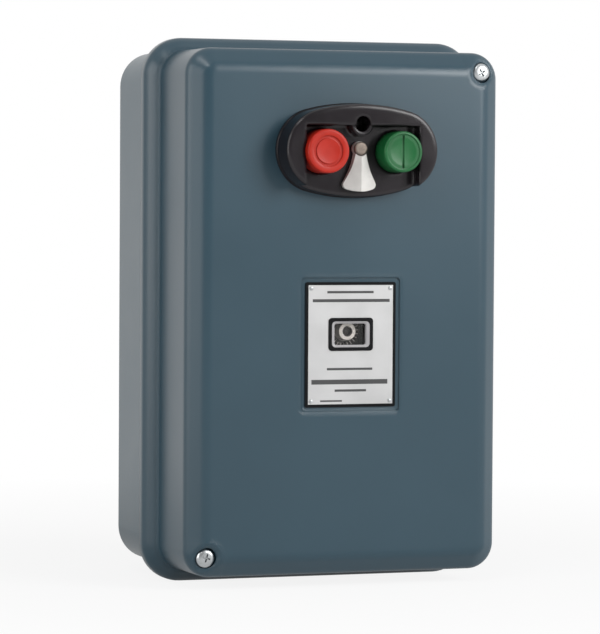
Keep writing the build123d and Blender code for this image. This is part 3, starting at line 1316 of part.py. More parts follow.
def heater_windings():
    """The heater wound round the middle of each strip."""
    length = bimetal_top - bimetal_bottom - 2 * HEATER_END
    z = (bimetal_top + bimetal_bottom) / 2
    sleeve = Box(BIMETAL_THICKNESS + 2 * HEATER_BUILD, BIMETAL_WIDTH + 2 * HEATER_BUILD, length)
    sleeve = fillet(sleeve.edges().filter_by(Axis.Z), 0.8 * HEATER_BUILD)
    sleeve -= Box(BIMETAL_THICKNESS, BIMETAL_WIDTH, length + 1)
    return [Pos(x - BIMETAL_SHIFT, -bimetal_depth, z) * sleeve for x in poles]


def trip_bar():
    """The bar that the strips push sideways; one finger stands beside each strip."""
    back = bimetal_depth - TRIP_BAR_DEPTH / 2
    front = bimetal_depth + TRIP_BAR_DEPTH / 2
    bar = slab(2 * TRIP_BAR_SIDE - TRIP_TRAVEL, TRIP_BAR_HEIGHT, back, front, 0, trip_bar_z)
    strip_side = BIMETAL_THICKNESS / 2 - BIMETAL_SHIFT
    height = TRIP_BAR_HEIGHT + FINGER_RISE
    for x in poles:
        finger_x = x + strip_side + FINGER_GAP + FINGER_WIDTH / 2
        bar += slab(FINGER_WIDTH, height, back, front, finger_x, trip_bar_z + FINGER_RISE / 2)
    return bar


def current_dial():
    """The current-setting dial: a marked disc, a socketed knob, and its shaft."""
    disc_back = turret_front + DIAL_LIFT
    knob_back = disc_back + DIAL_DISC
    dial = rod(DIAL_DISC_RADIUS, disc_back, knob_back, 0, dial_z)
    knob = rod(DIAL_RADIUS, knob_back, dial_front, 0, dial_z)
    dial += fillet(edges_at_depth(knob, dial_front), 0.5)
    dial += rod(DIAL_SHAFT, turret_front - DIAL_SHAFT_LENGTH, disc_back, 0, dial_z)
    dial -= rod(DIAL_SOCKET, dial_front - DIAL_SOCKET_DEPTH, dial_front + 1, 0, dial_z)
    mark_z = dial_z - DIAL_DISC_RADIUS + DIAL_MARK / 2
    return dial - slab(1.0, DIAL_MARK, disc_back + DIAL_DISC / 2, knob_back + 1, 0, mark_z)


fittings["relay_body"] = relay_body()
fittings["relay_lid"] = relay_lid()
fittings["relay_links"] = relay_links()
fittings["load_strips"] = load_strips()
fittings["terminal_screws"] = terminal_screws()
fittings["bimetal_strips"] = bimetal_strips()
fittings["heater_windings"] = heater_windings()
fittings["trip_bar"] = trip_bar()
fittings["current_dial"] = current_dial()


# ------------------------------------------------------------------ control block, linkage
def block_terminal_places():
    rises = (BLOCK_TERMINAL_RISE, -BLOCK_TERMINAL_RISE)
    return [(side * block_end_x, button_z + rise) for side in (-1, 1) for rise in rises]


def block_screw_zs():
    middle = button_z - BLOCK_SCREW_DROP
    return (middle - BLOCK_SCREW_RISE, middle + BLOCK_SCREW_RISE)


def control_block():
    """The push-button switch block that is screwed to the front of the contactor."""
    body = slab(BLOCK_WIDTH, BLOCK_HEIGHT, block_back, block_front, z=button_z, corner=1.6)
    step = (BLOCK_STEP_WIDTH + 1, BLOCK_HEIGHT + 2, block_step_depth, block_front + 1)
    for side in (-1, 1):
        x = side * block_end_x
        body -= slab(*step, x + side * 0.5, button_z)
        body += slab(BLOCK_STEP_WIDTH, BLOCK_FIN, block_step_depth - 0.5, block_front, x, button_z)
    height = BLOCK_HEIGHT - 2 * BLOCK_WALL
    chamber_front = plunger_collar_front + COLLAR_CLEARANCE
    for x in (stop_x, start_x):
        body -= slab(2 * chamber_half, height, spring_seat, chamber_front, x, button_z, corner=1.0)
        body -= rod(PLUNGER_RADIUS + PLUNGER_CLEARANCE, plunger_collar_front, block_front + 1, x, button_z)
    for x, z in block_terminal_places():
        hole_end = block_step_depth + CLAMP_THICKNESS - BLOCK_TERMINAL_REACH - 0.6
        body -= rod(BLOCK_TERMINAL_SCREW, hole_end, block_step_depth + 1, x, z)
    for z in block_screw_zs():
        body -= rod(BLOCK_SCREW, block_back - 1, block_front + 1, 0, z)
    return body


def block_screws():
    screws = []
    for z in block_screw_zs():
        screws.append(pan_screw(0, z, block_front, BLOCK_SCREW, 2.8, 2.0, BLOCK_DEPTH))
    return screws


def clamp_terminal(x, z, back, radius, head, head_height, reach):
    """A clamp plate and its screw, in front of the depth back."""
    front = back + CLAMP_THICKNESS
    plate = slab(CLAMP_WIDTH, CLAMP_HEIGHT, back, front, x, z, corner=0.5)
    return plate + pan_screw(x, z, front, radius, head, head_height, reach)


def control_terminals():
    """Clamp terminals at the ends of the switch block, and on the relay's front."""
    terminals = []
    block_screw = (BLOCK_TERMINAL_SCREW, 2.3, 1.6, BLOCK_TERMINAL_REACH)
    for x, z in block_terminal_places():
        terminals.append(clamp_terminal(x, z, block_step_depth, *block_screw))
    relay_screw = (CONTROL_SCREW, 2.6, 1.8, CONTROL_REACH)
    for x, z in control_screw_places():
        terminals.append(clamp_terminal(x, z, relay_lid_front, *relay_screw))
    return terminals


def plunger(x, front):
    """A switch plunger: a stem through the block's front, with a collar inside it."""
    collar_back = plunger_collar_front - COLLAR_THICKNESS
    stem = rod(PLUNGER_RADIUS, collar_back, front, x, button_z)
    return stem + rod(COLLAR_RADIUS, collar_back, plunger_collar_front - COLLAR_CLEARANCE, x, button_z)


def blade(x):
    """The springy contact blade across the inner end of a plunger."""
    front = blade_back + BLADE_THICKNESS
    return slab(blade_length, BLADE_WIDTH, blade_back, front, x, button_z, corner=1.0)


def plunger_spring(x):
    outer = PLUNGER_SPRING_RADIUS
    return tube(outer, outer - PLUNGER_SPRING_WIRE, spring_seat, blade_back, x, button_z)


def stop_link():
    """The flat bar that carries a push on the stop button down to the relay's reset pin."""
    top = button_z + RESET_BAR_TOP
    bottom = reset_pin_z - RESET_BAR_TOP
    z = (top + bottom) / 2
    bar = slab(RESET_BAR_WIDTH, top - bottom, bar_back, plunger_front, stop_x, z, corner=2.0)
    rib_length = top - bottom - 2 * RESET_BAR_TOP
    rib_front = plunger_front + RIB_HEIGHT
    for side in (-1, 1):
        x = stop_x + side * (RESET_BAR_WIDTH - RIB_WIDTH) / 2
        bar += slab(RIB_WIDTH, rib_length, plunger_front - 0.5, rib_front, x, z - RIB_DROP)
    return bar


def reset_pin():
    """The relay's reset pin, with a thinner tip inside the relay's lid."""
    end = relay_lid_front - MOULDING_WALL - RESET_PIN_TIP
    pin = rod(RESET_PIN_RADIUS, end + RESET_PIN_TIP, bar_back, stop_x, reset_pin_z)
    return pin + rod(RESET_PIN_TIP, end, end + RESET_PIN_TIP, stop_x, reset_pin_z)


def control_wires():
    """Four wires down the sides, from the switch block to the relay's control terminals."""
    depth = relay_lid_front + WIRE_RADIUS + WIRE_CLEARANCE
    wires = []
    for index in range(4):
        block_x, high = block_terminal_places()[index]
        relay_x, low = control_screw_places()[index ^ 1]
        side = -1 if index < 2 else 1
        plate_side = side * (CLAMP_WIDTH / 2 + WIRE_CLEARANCE)
        run_x = block_x + side * (WIRE_OUT + WIRE_PITCH * (1 - index % 2))
        route = FilletPolyline(
            (block_x + plate_side, -depth, high),
            (run_x, -depth, high),
            (run_x, -depth, low),
            (relay_x + plate_side, -depth, low),
            radius=WIRE_BEND,
        )
        section = Plane(origin=route @ 0, z_dir=route % 0) * Circle(WIRE_RADIUS)
        wires.append(sweep(section, path=route))
    return wires


def earth_terminal():
    """A welded stud, two nuts, and a cup washer between them."""
    collar_front = SHEET + EARTH_COLLAR
    stud = rod(EARTH_RADIUS, SHEET, SHEET + EARTH_LENGTH, EARTH_X, EARTH_Z)
    stud += rod(EARTH_WASHER, SHEET, collar_front, EARTH_X, EARTH_Z)
    hexagon = RegularPolygon(EARTH_NUT, 6, major_radius=False)
    ring = hexagon - Circle(EARTH_RADIUS)
    washer_back = collar_front + EARTH_NUT_HEIGHT
    washer_front = washer_back + EARTH_WASHER_THICKNESS
    lower = prism(ring, collar_front, washer_back, EARTH_X, EARTH_Z)
    washer = tube(EARTH_WASHER, EARTH_RADIUS, washer_back, washer_front, EARTH_X, EARTH_Z)
    upper = prism(ring, washer_front, washer_front + EARTH_NUT_HEIGHT, EARTH_X, EARTH_Z)
    return [stud, lower, washer, upper]


fittings["control_block"] = control_block()
fittings["block_screws"] = block_screws()
fittings["control_terminals"] = control_terminals()
fittings["stop_plunger"] = plunger(stop_x, bar_back)
fittings["start_plunger"] = plunger(start_x, plunger_front)
fittings["stop_blade"] = blade(stop_x)
fittings["start_blade"] = blade(start_x)
fittings["stop_plunger_spring"] = plunger_spring(stop_x)
fittings["start_plunger_spring"] = plunger_spring(start_x)
fittings["stop_link"] = stop_link()
fittings["reset_pin"] = reset_pin()
fittings["control_wires"] = control_wires()
case["earth_terminal"] = earth_terminal()


def as_solids(shape):
    """Every solid in a piece, whether it is one solid or a group of them."""
    if isinstance(shape, (list, tuple)):
        return [solid for item in shape for solid in as_solids(item)]
    return list(shape.solids())


os.makedirs("parts", exist_ok=True)
for pieces, shift in ((case, 0), (fittings, FITTINGS_X)):
    for name, shape in pieces.items():
        solids = [Pos(shift, 0, 0) * solid for solid in as_solids(shape)]
        piece = solids[0] if len(solids) == 1 else Compound(children=solids)
        export_step(piece, f"parts/{name}.step")
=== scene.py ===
"""The dressed motor starter: finishes and fine detail over the rigid parts of the starter.

Sizes are in metres. The starter's back lies on Y = 0, its front faces -Y and Z is up.
"""

import bpy
import bmesh
import json
from math import cos, pi, radians, sin
from mathutils import Matrix, Vector

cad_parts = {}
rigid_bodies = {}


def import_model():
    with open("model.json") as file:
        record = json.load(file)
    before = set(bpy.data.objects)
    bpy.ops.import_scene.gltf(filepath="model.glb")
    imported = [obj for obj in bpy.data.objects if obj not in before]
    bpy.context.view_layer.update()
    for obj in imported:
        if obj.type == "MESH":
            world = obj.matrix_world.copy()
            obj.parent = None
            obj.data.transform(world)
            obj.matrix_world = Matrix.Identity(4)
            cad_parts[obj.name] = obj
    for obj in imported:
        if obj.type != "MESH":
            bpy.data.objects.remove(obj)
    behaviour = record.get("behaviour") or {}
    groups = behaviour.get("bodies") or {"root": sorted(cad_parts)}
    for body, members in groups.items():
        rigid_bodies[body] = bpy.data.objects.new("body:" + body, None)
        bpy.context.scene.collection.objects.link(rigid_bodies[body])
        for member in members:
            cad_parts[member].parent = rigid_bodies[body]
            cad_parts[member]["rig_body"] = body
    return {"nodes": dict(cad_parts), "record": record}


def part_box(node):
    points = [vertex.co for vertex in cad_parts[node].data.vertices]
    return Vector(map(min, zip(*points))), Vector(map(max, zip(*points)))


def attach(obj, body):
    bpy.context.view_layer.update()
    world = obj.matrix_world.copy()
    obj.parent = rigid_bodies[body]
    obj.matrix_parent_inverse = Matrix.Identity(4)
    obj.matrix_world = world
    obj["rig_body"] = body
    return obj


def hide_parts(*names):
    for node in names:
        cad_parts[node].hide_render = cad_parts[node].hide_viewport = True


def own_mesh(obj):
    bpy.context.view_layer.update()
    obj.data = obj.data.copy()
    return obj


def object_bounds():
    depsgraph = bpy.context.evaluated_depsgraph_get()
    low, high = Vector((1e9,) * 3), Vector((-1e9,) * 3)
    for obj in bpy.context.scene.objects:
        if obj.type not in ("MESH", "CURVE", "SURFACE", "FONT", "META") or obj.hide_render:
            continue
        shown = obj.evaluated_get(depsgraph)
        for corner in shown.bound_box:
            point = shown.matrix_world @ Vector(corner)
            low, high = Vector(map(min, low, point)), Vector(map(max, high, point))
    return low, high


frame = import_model()
cad_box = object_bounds()
nodes = frame["nodes"]
MM = 0.001


# ------------------------------------------------------------------------- small node helpers
def wire(tree, source, target):
    tree.links.new(source, target)


def math_node(tree, operation, *values, clamp=False):
    """A Math node whose inputs are either sockets or plain numbers."""
    node = tree.nodes.new("ShaderNodeMath")
    node.operation = operation
    node.use_clamp = clamp
    for index, value in enumerate(values):
        if isinstance(value, bpy.types.NodeSocket):
            wire(tree, value, node.inputs[index])
        else:
            node.inputs[index].default_value = value
    return node.outputs[0]


def noise(tree, vector, scale, detail=2.0, roughness=0.5):
    node = tree.nodes.new("ShaderNodeTexNoise")
    wire(tree, vector, node.inputs["Vector"])
    node.inputs["Detail"].default_value = detail
    node.inputs["Roughness"].default_value = roughness
    if isinstance(scale, bpy.types.NodeSocket):
        wire(tree, scale, node.inputs["Scale"])
    else:
        node.inputs["Scale"].default_value = scale
    return node.outputs["Fac"]


def spread(tree, value, low, high, to_low, to_high):
    node = tree.nodes.new("ShaderNodeMapRange")
    wire(tree, value, node.inputs["Value"])
    for name, number in (("From Min", low), ("From Max", high), ("To Min", to_low), ("To Max", to_high)):
        if isinstance(number, bpy.types.NodeSocket):
            wire(tree, number, node.inputs[name])
        else:
            node.inputs[name].default_value = number
    return node.outputs["Result"]


def object_place(tree):
    return tree.nodes.new("ShaderNodeTexCoord").outputs["Object"]


def new_group(name, inputs, outputs):
    """An empty shader group with named sockets; returns the group and its two end nodes."""
    group = bpy.data.node_groups.new(name, "ShaderNodeTree")
    for label, kind, value in inputs:
        socket = group.interface.new_socket(label, in_out="INPUT", socket_type=kind)
        if value is not None:
            socket.default_value = value
    for label, kind in outputs:
        group.interface.new_socket(label, in_out="OUTPUT", socket_type=kind)
    return group, group.nodes.new("NodeGroupInput"), group.nodes.new("NodeGroupOutput")


def place_group(tree, group, **values):
    node = tree.nodes.new("ShaderNodeGroup")
    node.node_tree = group
    for label, value in values.items():
        socket = node.inputs[label.replace("_", " ")]
        if isinstance(value, bpy.types.NodeSocket):
            wire(tree, value, socket)
        else:
            socket.default_value = value
    return node


COLOUR = "NodeSocketColor"
NUMBER = "NodeSocketFloat"


# ------------------------------------------------------------------------------ shared effects
def make_mottle():
    """Slow, slight lightening and darkening of a colour over a surface."""
    group, start, end = new_group(
        "mottle",
        [("Colour", COLOUR, (1, 1, 1, 1)), ("Size", NUMBER, 20.0), ("Amount", NUMBER, 0.1)],
        [("Colour", COLOUR), ("Cloud", NUMBER)],
    )
    cloud = noise(group, object_place(group), start.outputs["Size"], 4.0, 0.6)
    low = math_node(group, "SUBTRACT", 1.0, start.outputs["Amount"])
    high = math_node(group, "ADD", 1.0, start.outputs["Amount"])
    soft = group.nodes.new("ShaderNodeMapRange")
    soft.interpolation_type = "SMOOTHERSTEP"
    soft.inputs["From Min"].default_value = 0.25
    soft.inputs["From Max"].default_value = 0.75
    wire(group, cloud, soft.inputs["Value"])
    cloud = soft.outputs["Result"]
    factor = spread(group, cloud, 0.0, 1.0, low, high)
    scale = group.nodes.new("ShaderNodeVectorMath")
    scale.operation = "SCALE"
    wire(group, start.outputs["Colour"], scale.inputs[0])
    wire(group, factor, scale.inputs["Scale"])
    wire(group, scale.outputs[0], end.inputs["Colour"])
    wire(group, cloud, end.inputs["Cloud"])
    return group


def make_grain():
    """A fine surface height: the orange peel of sprayed enamel or the skin of a moulding."""
    group, start, end = new_group(
        "grain",
        [("Size", NUMBER, 900.0), ("Wave Size", NUMBER, 90.0), ("Wave Share", NUMBER, 0.3)],
        [("Height", NUMBER)],
    )
    place = object_place(group)
    fine = noise(group, place, start.outputs["Size"], 3.0, 0.6)
    wave = noise(group, place, start.outputs["Wave Size"], 1.0, 0.5)
    share = math_node(group, "MULTIPLY", wave, start.outputs["Wave Share"])
    wire(group, math_node(group, "ADD", fine, share), end.inputs["Height"])
    return group


def make_worn_and_shaded_edges():
    """A mask of outer edges, broken up by noise: worn edges on some finishes, and painted shade along the enamels'
    edges.
    """
    group, start, end = new_group(
        "worn_and_shaded_edges",
        [("Radius", NUMBER, 0.0006), ("Reach", NUMBER, 0.12), ("Breakup", NUMBER, 140.0)],
        [("Mask", NUMBER)],
    )
    soft = group.nodes.new("ShaderNodeBevel")
    soft.samples = 4
    wire(group, start.outputs["Radius"], soft.inputs["Radius"])
    sharp = group.nodes.new("ShaderNodeNewGeometry")
    dot = group.nodes.new("ShaderNodeVectorMath")
    dot.operation = "DOT_PRODUCT"
    wire(group, soft.outputs[0], dot.inputs[0])
    wire(group, sharp.outputs["Normal"], dot.inputs[1])
    away = math_node(group, "SUBTRACT", 1.0, dot.outputs["Value"])
    edge = spread(group, away, 0.0, start.outputs["Reach"], 0.0, 1.0)
    patch = spread(group, noise(group, object_place(group), start.outputs["Breakup"], 3.0), 0.35, 0.65, 0.1, 1.0)
    wire(group, math_node(group, "MULTIPLY", edge, patch, clamp=True), end.inputs["Mask"])
    return group


def make_soft_edges():
    """The surface's own direction, eased over its edges as if they were rolled."""
    group, start, end = new_group("soft_edges", [("Radius", NUMBER, 0.001)], [("Normal", "NodeSocketVector")])
    soft = group.nodes.new("ShaderNodeBevel")
    soft.samples = 8
    wire(group, start.outputs["Radius"], soft.inputs["Radius"])
    wire(group, soft.outputs[0], end.inputs["Normal"])
    return group


def make_box_mask():
    """A mask of a rectangle in X and Z, with its centre and half sizes in metres."""
    group, start, end = new_group(
        "box_mask",
        [("X", NUMBER, 0.0), ("Z", NUMBER, 0.0), ("Half X", NUMBER, 0.01), ("Half Z", NUMBER, 0.01)],
        [("Mask", NUMBER)],
    )
    split = group.nodes.new("ShaderNodeSeparateXYZ")
    wire(group, object_place(group), split.inputs[0])
    masks = []
    for axis in ("X", "Z"):
        away = math_node(group, "ABSOLUTE", math_node(group, "SUBTRACT", split.outputs[axis], start.outputs[axis]))
        masks.append(math_node(group, "LESS_THAN", away, start.outputs["Half " + axis]))
    wire(group, math_node(group, "MULTIPLY", *masks), end.inputs["Mask"])
    return group


def make_stripes():
    """Fine parallel lines: the plates of a laminated core, or the turns of a winding."""
    group, start, end = new_group(
        "stripes",
        [("X", NUMBER, 0.0), ("Y", NUMBER, 0.0), ("Z", NUMBER, 1.0), ("Pitch", NUMBER, 0.0005)],
        [("Line", NUMBER)],
    )
    axis = group.nodes.new("ShaderNodeCombineXYZ")
    for label in ("X", "Y", "Z"):
        wire(group, start.outputs[label], axis.inputs[label])
    dot = group.nodes.new("ShaderNodeVectorMath")
    dot.operation = "DOT_PRODUCT"
    wire(group, object_place(group), dot.inputs[0])
    wire(group, axis.outputs[0], dot.inputs[1])
    turns = math_node(group, "DIVIDE", dot.outputs["Value"], start.outputs["Pitch"])
    wave = math_node(group, "SINE", math_node(group, "MULTIPLY", turns, 2 * pi))
    wire(group, spread(group, wave, -1.0, 1.0, 0.0, 1.0), end.inputs["Line"])
    return group


def make_ring_mask():
    """A mask of a flat ring round an axis that runs from front to back."""
    group, start, end = new_group(
        "ring_mask",
        [("X", NUMBER, 0.0), ("Z", NUMBER, 0.0), ("Inner", NUMBER, 0.001), ("Outer", NUMBER, 0.002)],
        [("Mask", NUMBER), ("Distance", NUMBER)],
    )
    split = group.nodes.new("ShaderNodeSeparateXYZ")
    wire(group, object_place(group), split.inputs[0])
    squares = []
    for axis in ("X", "Z"):
        away = math_node(group, "SUBTRACT", split.outputs[axis], start.outputs[axis])
        squares.append(math_node(group, "POWER", math_node(group, "ABSOLUTE", away), 2.0))
    distance = math_node(group, "SQRT", math_node(group, "ADD", *squares))
    inside = math_node(group, "LESS_THAN", distance, start.outputs["Outer"])
    outside = math_node(group, "GREATER_THAN", distance, start.outputs["Inner"])
    wire(group, math_node(group, "MULTIPLY", inside, outside), end.inputs["Mask"])
    wire(group, distance, end.inputs["Distance"])
    return group


mottle = make_mottle()
grain = make_grain()
worn_and_shaded_edges = make_worn_and_shaded_edges()
soft_edges = make_soft_edges()
box_mask = make_box_mask()
ring_mask = make_ring_mask()
stripes = make_stripes()


# ---------------------------------------------------------------------------------- materials
def start_material(name, **sockets):
    """A new material and its Principled shader, with its plain values set."""
    material = bpy.data.materials.new(name)
    material.use_nodes = True
    shader = material.node_tree.nodes["Principled BSDF"]
    for label, value in sockets.items():
        shader.inputs[label.replace("_", " ")].default_value = value
    return material, material.node_tree, shader


def mix_colour(tree, factor, first, second):
    node = tree.nodes.new("ShaderNodeMix")
    node.data_type = "RGBA"
    wire(tree, factor, node.inputs["Factor"])
    for label, value in (("A", first), ("B", second)):
        socket = [s for s in node.inputs if s.name == label and s.type == "RGBA"][0]
        if isinstance(value, bpy.types.NodeSocket):
            wire(tree, value, socket)
        else:
            socket.default_value = (*value, 1)
    return [s for s in node.outputs if s.type == "RGBA"][0]


def add_bump(tree, shader, height, strength, distance, rolled=0.0):
    bump = tree.nodes.new("ShaderNodeBump")
    if rolled:
        wire(tree, place_group(tree, soft_edges, Radius=rolled * MM).outputs["Normal"], bump.inputs["Normal"])
    bump.inputs["Strength"].default_value = strength
    bump.inputs["Distance"].default_value = distance
    wire(tree, height, bump.inputs["Height"])
    wire(tree, bump.outputs["Normal"], shader.inputs["Normal"])


def surface(name, colour, rough, metal=0.0, cloud=0.08, cloud_size=40.0, grain_size=900.0, depth=0.00002,
            strength=0.25, worn_and_shaded_edge_reach=None, worn_and_shaded_edge_colour=None, spread_rough=0.05, rolled=0.0, **sockets):
    """A finish: a mottled colour, a roughness that varies, a fine grain, and edges recoloured: worn on some finishes,
    darkened by painted shade on the enamels.
    """
    material, tree, shader = start_material(name, Metallic=metal, **sockets)
    tint = place_group(tree, mottle, Colour=(*colour, 1), Size=cloud_size, Amount=cloud)
    skin = place_group(tree, grain, Size=grain_size)
    base = tint.outputs["Colour"]
    # Edge colour: on the enamels a darker colour along convex edges is painted shade, standing in for the dark
    # reflections of rounded edges; on mouldings and screws it marks worn edges.
    if worn_and_shaded_edge_reach:
        mask = place_group(tree, worn_and_shaded_edges, Radius=0.0005, Reach=worn_and_shaded_edge_reach).outputs["Mask"]
        base = mix_colour(tree, mask, base, worn_and_shaded_edge_colour)
    wire(tree, base, shader.inputs["Base Color"])
    wire(tree, spread(tree, tint.outputs["Cloud"], 0.0, 1.0, rough - spread_rough, rough + spread_rough),
         shader.inputs["Roughness"])
    add_bump(tree, shader, skin.outputs["Height"], strength, depth, rolled)
    return material


finishes = {
    # Both enamels carry a darker edge colour: painted shade along their convex edges, standing in for dark reflections.
    "cover_enamel": surface("slate_enamel", (0.024, 0.062, 0.088), 0.3, cloud=0.03, cloud_size=14.0,
                            grain_size=420.0, depth=0.00006, strength=0.1, worn_and_shaded_edge_reach=0.6, spread_rough=0.02,
                            worn_and_shaded_edge_colour=(0.016, 0.038, 0.055), rolled=3.0, Coat_Weight=0.12, Coat_Roughness=0.2),
    "base_enamel": surface("slate_enamel_base", (0.029, 0.069, 0.094), 0.32, cloud=0.03, cloud_size=14.0,
                           grain_size=420.0, depth=0.00006, strength=0.12, worn_and_shaded_edge_reach=0.6, spread_rough=0.03,
                           worn_and_shaded_edge_colour=(0.018, 0.04, 0.058), rolled=1.5, Coat_Weight=0.2, Coat_Roughness=0.2),
    "seal_rubber": surface("seal_rubber", (0.02, 0.02, 0.02), 0.75, cloud=0.2, depth=0.00005, strength=0.4),
    "plated_steel": surface("zinc_plate", (0.52, 0.52, 0.5), 0.36, metal=1.0, cloud=0.15, cloud_size=120.0,
                            grain_size=5000.0, depth=0.000005, strength=0.2),
    "bright_screw": surface("bright_plating", (0.52, 0.54, 0.55), 0.34, metal=1.0, cloud=0.1, cloud_size=300.0,
                            grain_size=5000.0, depth=0.000005, strength=0.2, worn_and_shaded_edge_reach=0.6,
                            worn_and_shaded_edge_colour=(0.46, 0.46, 0.45)),
    # The pivot pin's dark brownish colour is painted reflection: it stands in for the red and dark surroundings seen in
    # a bright plated head.
    "brownish_pin": surface("brownish_pin", (0.2, 0.165, 0.14), 0.42, metal=0.7, cloud=0.25, cloud_size=500.0,
                        grain_size=4000.0, depth=0.000005, strength=0.2, spread_rough=0.06),
    "dark_screw": surface("blackened_steel", (0.03, 0.03, 0.03), 0.4, metal=1.0, cloud=0.1,
                          grain_size=5000.0, depth=0.000005, strength=0.2),
    "spring_steel": surface("spring_steel", (0.42, 0.42, 0.41), 0.35, metal=1.0, cloud=0.1,
                            grain_size=5000.0, depth=0.000005, strength=0.2),
    "contact_brass": surface("plain_brass", (0.66, 0.42, 0.16), 0.35, metal=1.0, cloud=0.12, cloud_size=90.0),
    "black_moulding": surface("black_phenolic", (0.026, 0.023, 0.021), 0.42, cloud=0.2, grain_size=1500.0,
                              worn_and_shaded_edge_reach=0.5, worn_and_shaded_edge_colour=(0.06, 0.056, 0.052)),
    "pale_moulding": surface("cream_moulding", (0.52, 0.46, 0.35), 0.45, cloud=0.08, grain_size=1500.0,
                             worn_and_shaded_edge_reach=0.6, worn_and_shaded_edge_colour=(0.62, 0.57, 0.46)),
    "wire_sleeve": surface("wire_sleeve", (0.025, 0.025, 0.028), 0.5, cloud=0.1),
    "frame_plastic": surface("black_frame", (0.006, 0.006, 0.007), 0.36, cloud=0.15, Specular_IOR_Level=0.12),
    "liner_plastic": surface("grey_liner", (0.4, 0.39, 0.4), 0.4, cloud=0.08),
    "bezel_plastic": surface("gloss_black", (0.011, 0.008, 0.0105), 0.18, cloud=0.2, cloud_size=25.0,
                             grain_size=160.0, depth=0.00008, strength=0.1, spread_rough=0.05, rolled=2.0, Specular_IOR_Level=0.42),
    "red_plastic": surface("red_moulding", (0.45, 0.018, 0.007), 0.36, cloud=0.06, cloud_size=160.0,
                           rolled=0.5, Specular_IOR_Level=0.3),
    "green_plastic": surface("green_moulding", (0.005, 0.115, 0.028), 0.34, cloud=0.08, cloud_size=160.0,
                             rolled=0.5, Specular_IOR_Level=0.4),
    "lever_metal": surface("satin_lever", (0.62, 0.605, 0.58), 0.36, metal=0.3, cloud=0.05, cloud_size=180.0,
                           grain_size=4000.0, depth=0.000005, strength=0.2),
}


def striped(name, colour, dark, rough, metal, axis, pitch, depth):
    """A finish crossed by fine dark lines, for laminated steel and wound wire."""
    material, tree, shader = start_material(name, Metallic=metal)
    tint = place_group(tree, mottle, Colour=(*colour, 1), Size=160.0, Amount=0.12)
    line = place_group(tree, stripes, X=axis[0], Y=axis[1], Z=axis[2], Pitch=pitch).outputs["Line"]
    groove = spread(tree, line, 0.0, 0.3, 1.0, 0.0)
    wire(tree, mix_colour(tree, groove, tint.outputs["Colour"], dark), shader.inputs["Base Color"])
    wire(tree, spread(tree, tint.outputs["Cloud"], 0.0, 1.0, rough - 0.05, rough + 0.05), shader.inputs["Roughness"])
    add_bump(tree, shader, line, 0.6, depth)
    return material


finishes["core_steel"] = striped("laminated_steel", (0.33, 0.32, 0.31), (0.08, 0.075, 0.07), 0.38, 1.0,
                                 (0, 0, 1), 0.0005, 0.00005)
finishes["coil_tape"] = striped("wound_coil", (0.34, 0.16, 0.05), (0.1, 0.04, 0.01), 0.34, 0.3,
                                (0, 1, 0), 0.0006, 0.0001)


def clear_pane():
    material, tree, shader = start_material("clear_pane", Transmission_Weight=1.0, Roughness=0.02, IOR=1.3)
    tint = place_group(tree, mottle, Colour=(0.92, 0.93, 0.92, 1), Size=60.0, Amount=0.02)
    wire(tree, tint.outputs["Colour"], shader.inputs["Base Color"])
    return material


finishes["clear_pane"] = clear_pane()


# The plate's rows: centre in X and Z from the plate's own centre, half length, half height.
PLATE_ROWS = (
    (-0.2, 22.4, 10.6, 0.5),
    (0.2, 18.8, 17.6, 0.65),
    (-0.4, -10.4, 10.4, 0.5),
    (-0.4, -15.9, 17.4, 1.0),
    (0.0, -19.6, 7.2, 0.5),
    (-8.8, -24.0, 5.0, 0.35),
)
PLATE_BORDER = 1.3
PLATE_INK = 0.85


def printed_plate():
    """Satin metal with a black printed border and ruled rows where a plate has its data."""
    low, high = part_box("rating_plate")
    middle = (low + high) / 2
    material, tree, shader = start_material("printed_plate", Specular_IOR_Level=0.1)
    tint = place_group(tree, mottle, Colour=(0.55, 0.55, 0.55, 1), Size=60.0, Amount=0.03)
    skin = place_group(tree, grain, Size=600.0)
    inside = place_group(
        tree, box_mask, X=middle.x, Z=middle.z, Half_X=(high.x - low.x) / 2 - PLATE_BORDER * MM,
        Half_Z=(high.z - low.z) / 2 - PLATE_BORDER * MM,
    ).outputs["Mask"]
    ink = math_node(tree, "SUBTRACT", 1.0, inside)
    for x, z, half_length, half_height in PLATE_ROWS:
        row = place_group(
            tree, box_mask, X=middle.x + x * MM, Z=middle.z + z * MM, Half_X=half_length * MM,
            Half_Z=half_height * MM,
        ).outputs["Mask"]
        ink = math_node(tree, "MAXIMUM", ink, math_node(tree, "MULTIPLY", row, PLATE_INK))
    wire(tree, mix_colour(tree, ink, tint.outputs["Colour"], (0.006, 0.007, 0.008)), shader.inputs["Base Color"])
    wire(tree, spread(tree, ink, 0.0, 1.0, 0.45, 0.0), shader.inputs["Metallic"])
    wire(tree, spread(tree, tint.outputs["Cloud"], 0.0, 1.0, 0.36, 0.48), shader.inputs["Roughness"])
    add_bump(tree, shader, skin.outputs["Height"], 0.2, 0.00002)
    return material


finishes["plate_metal"] = printed_plate()


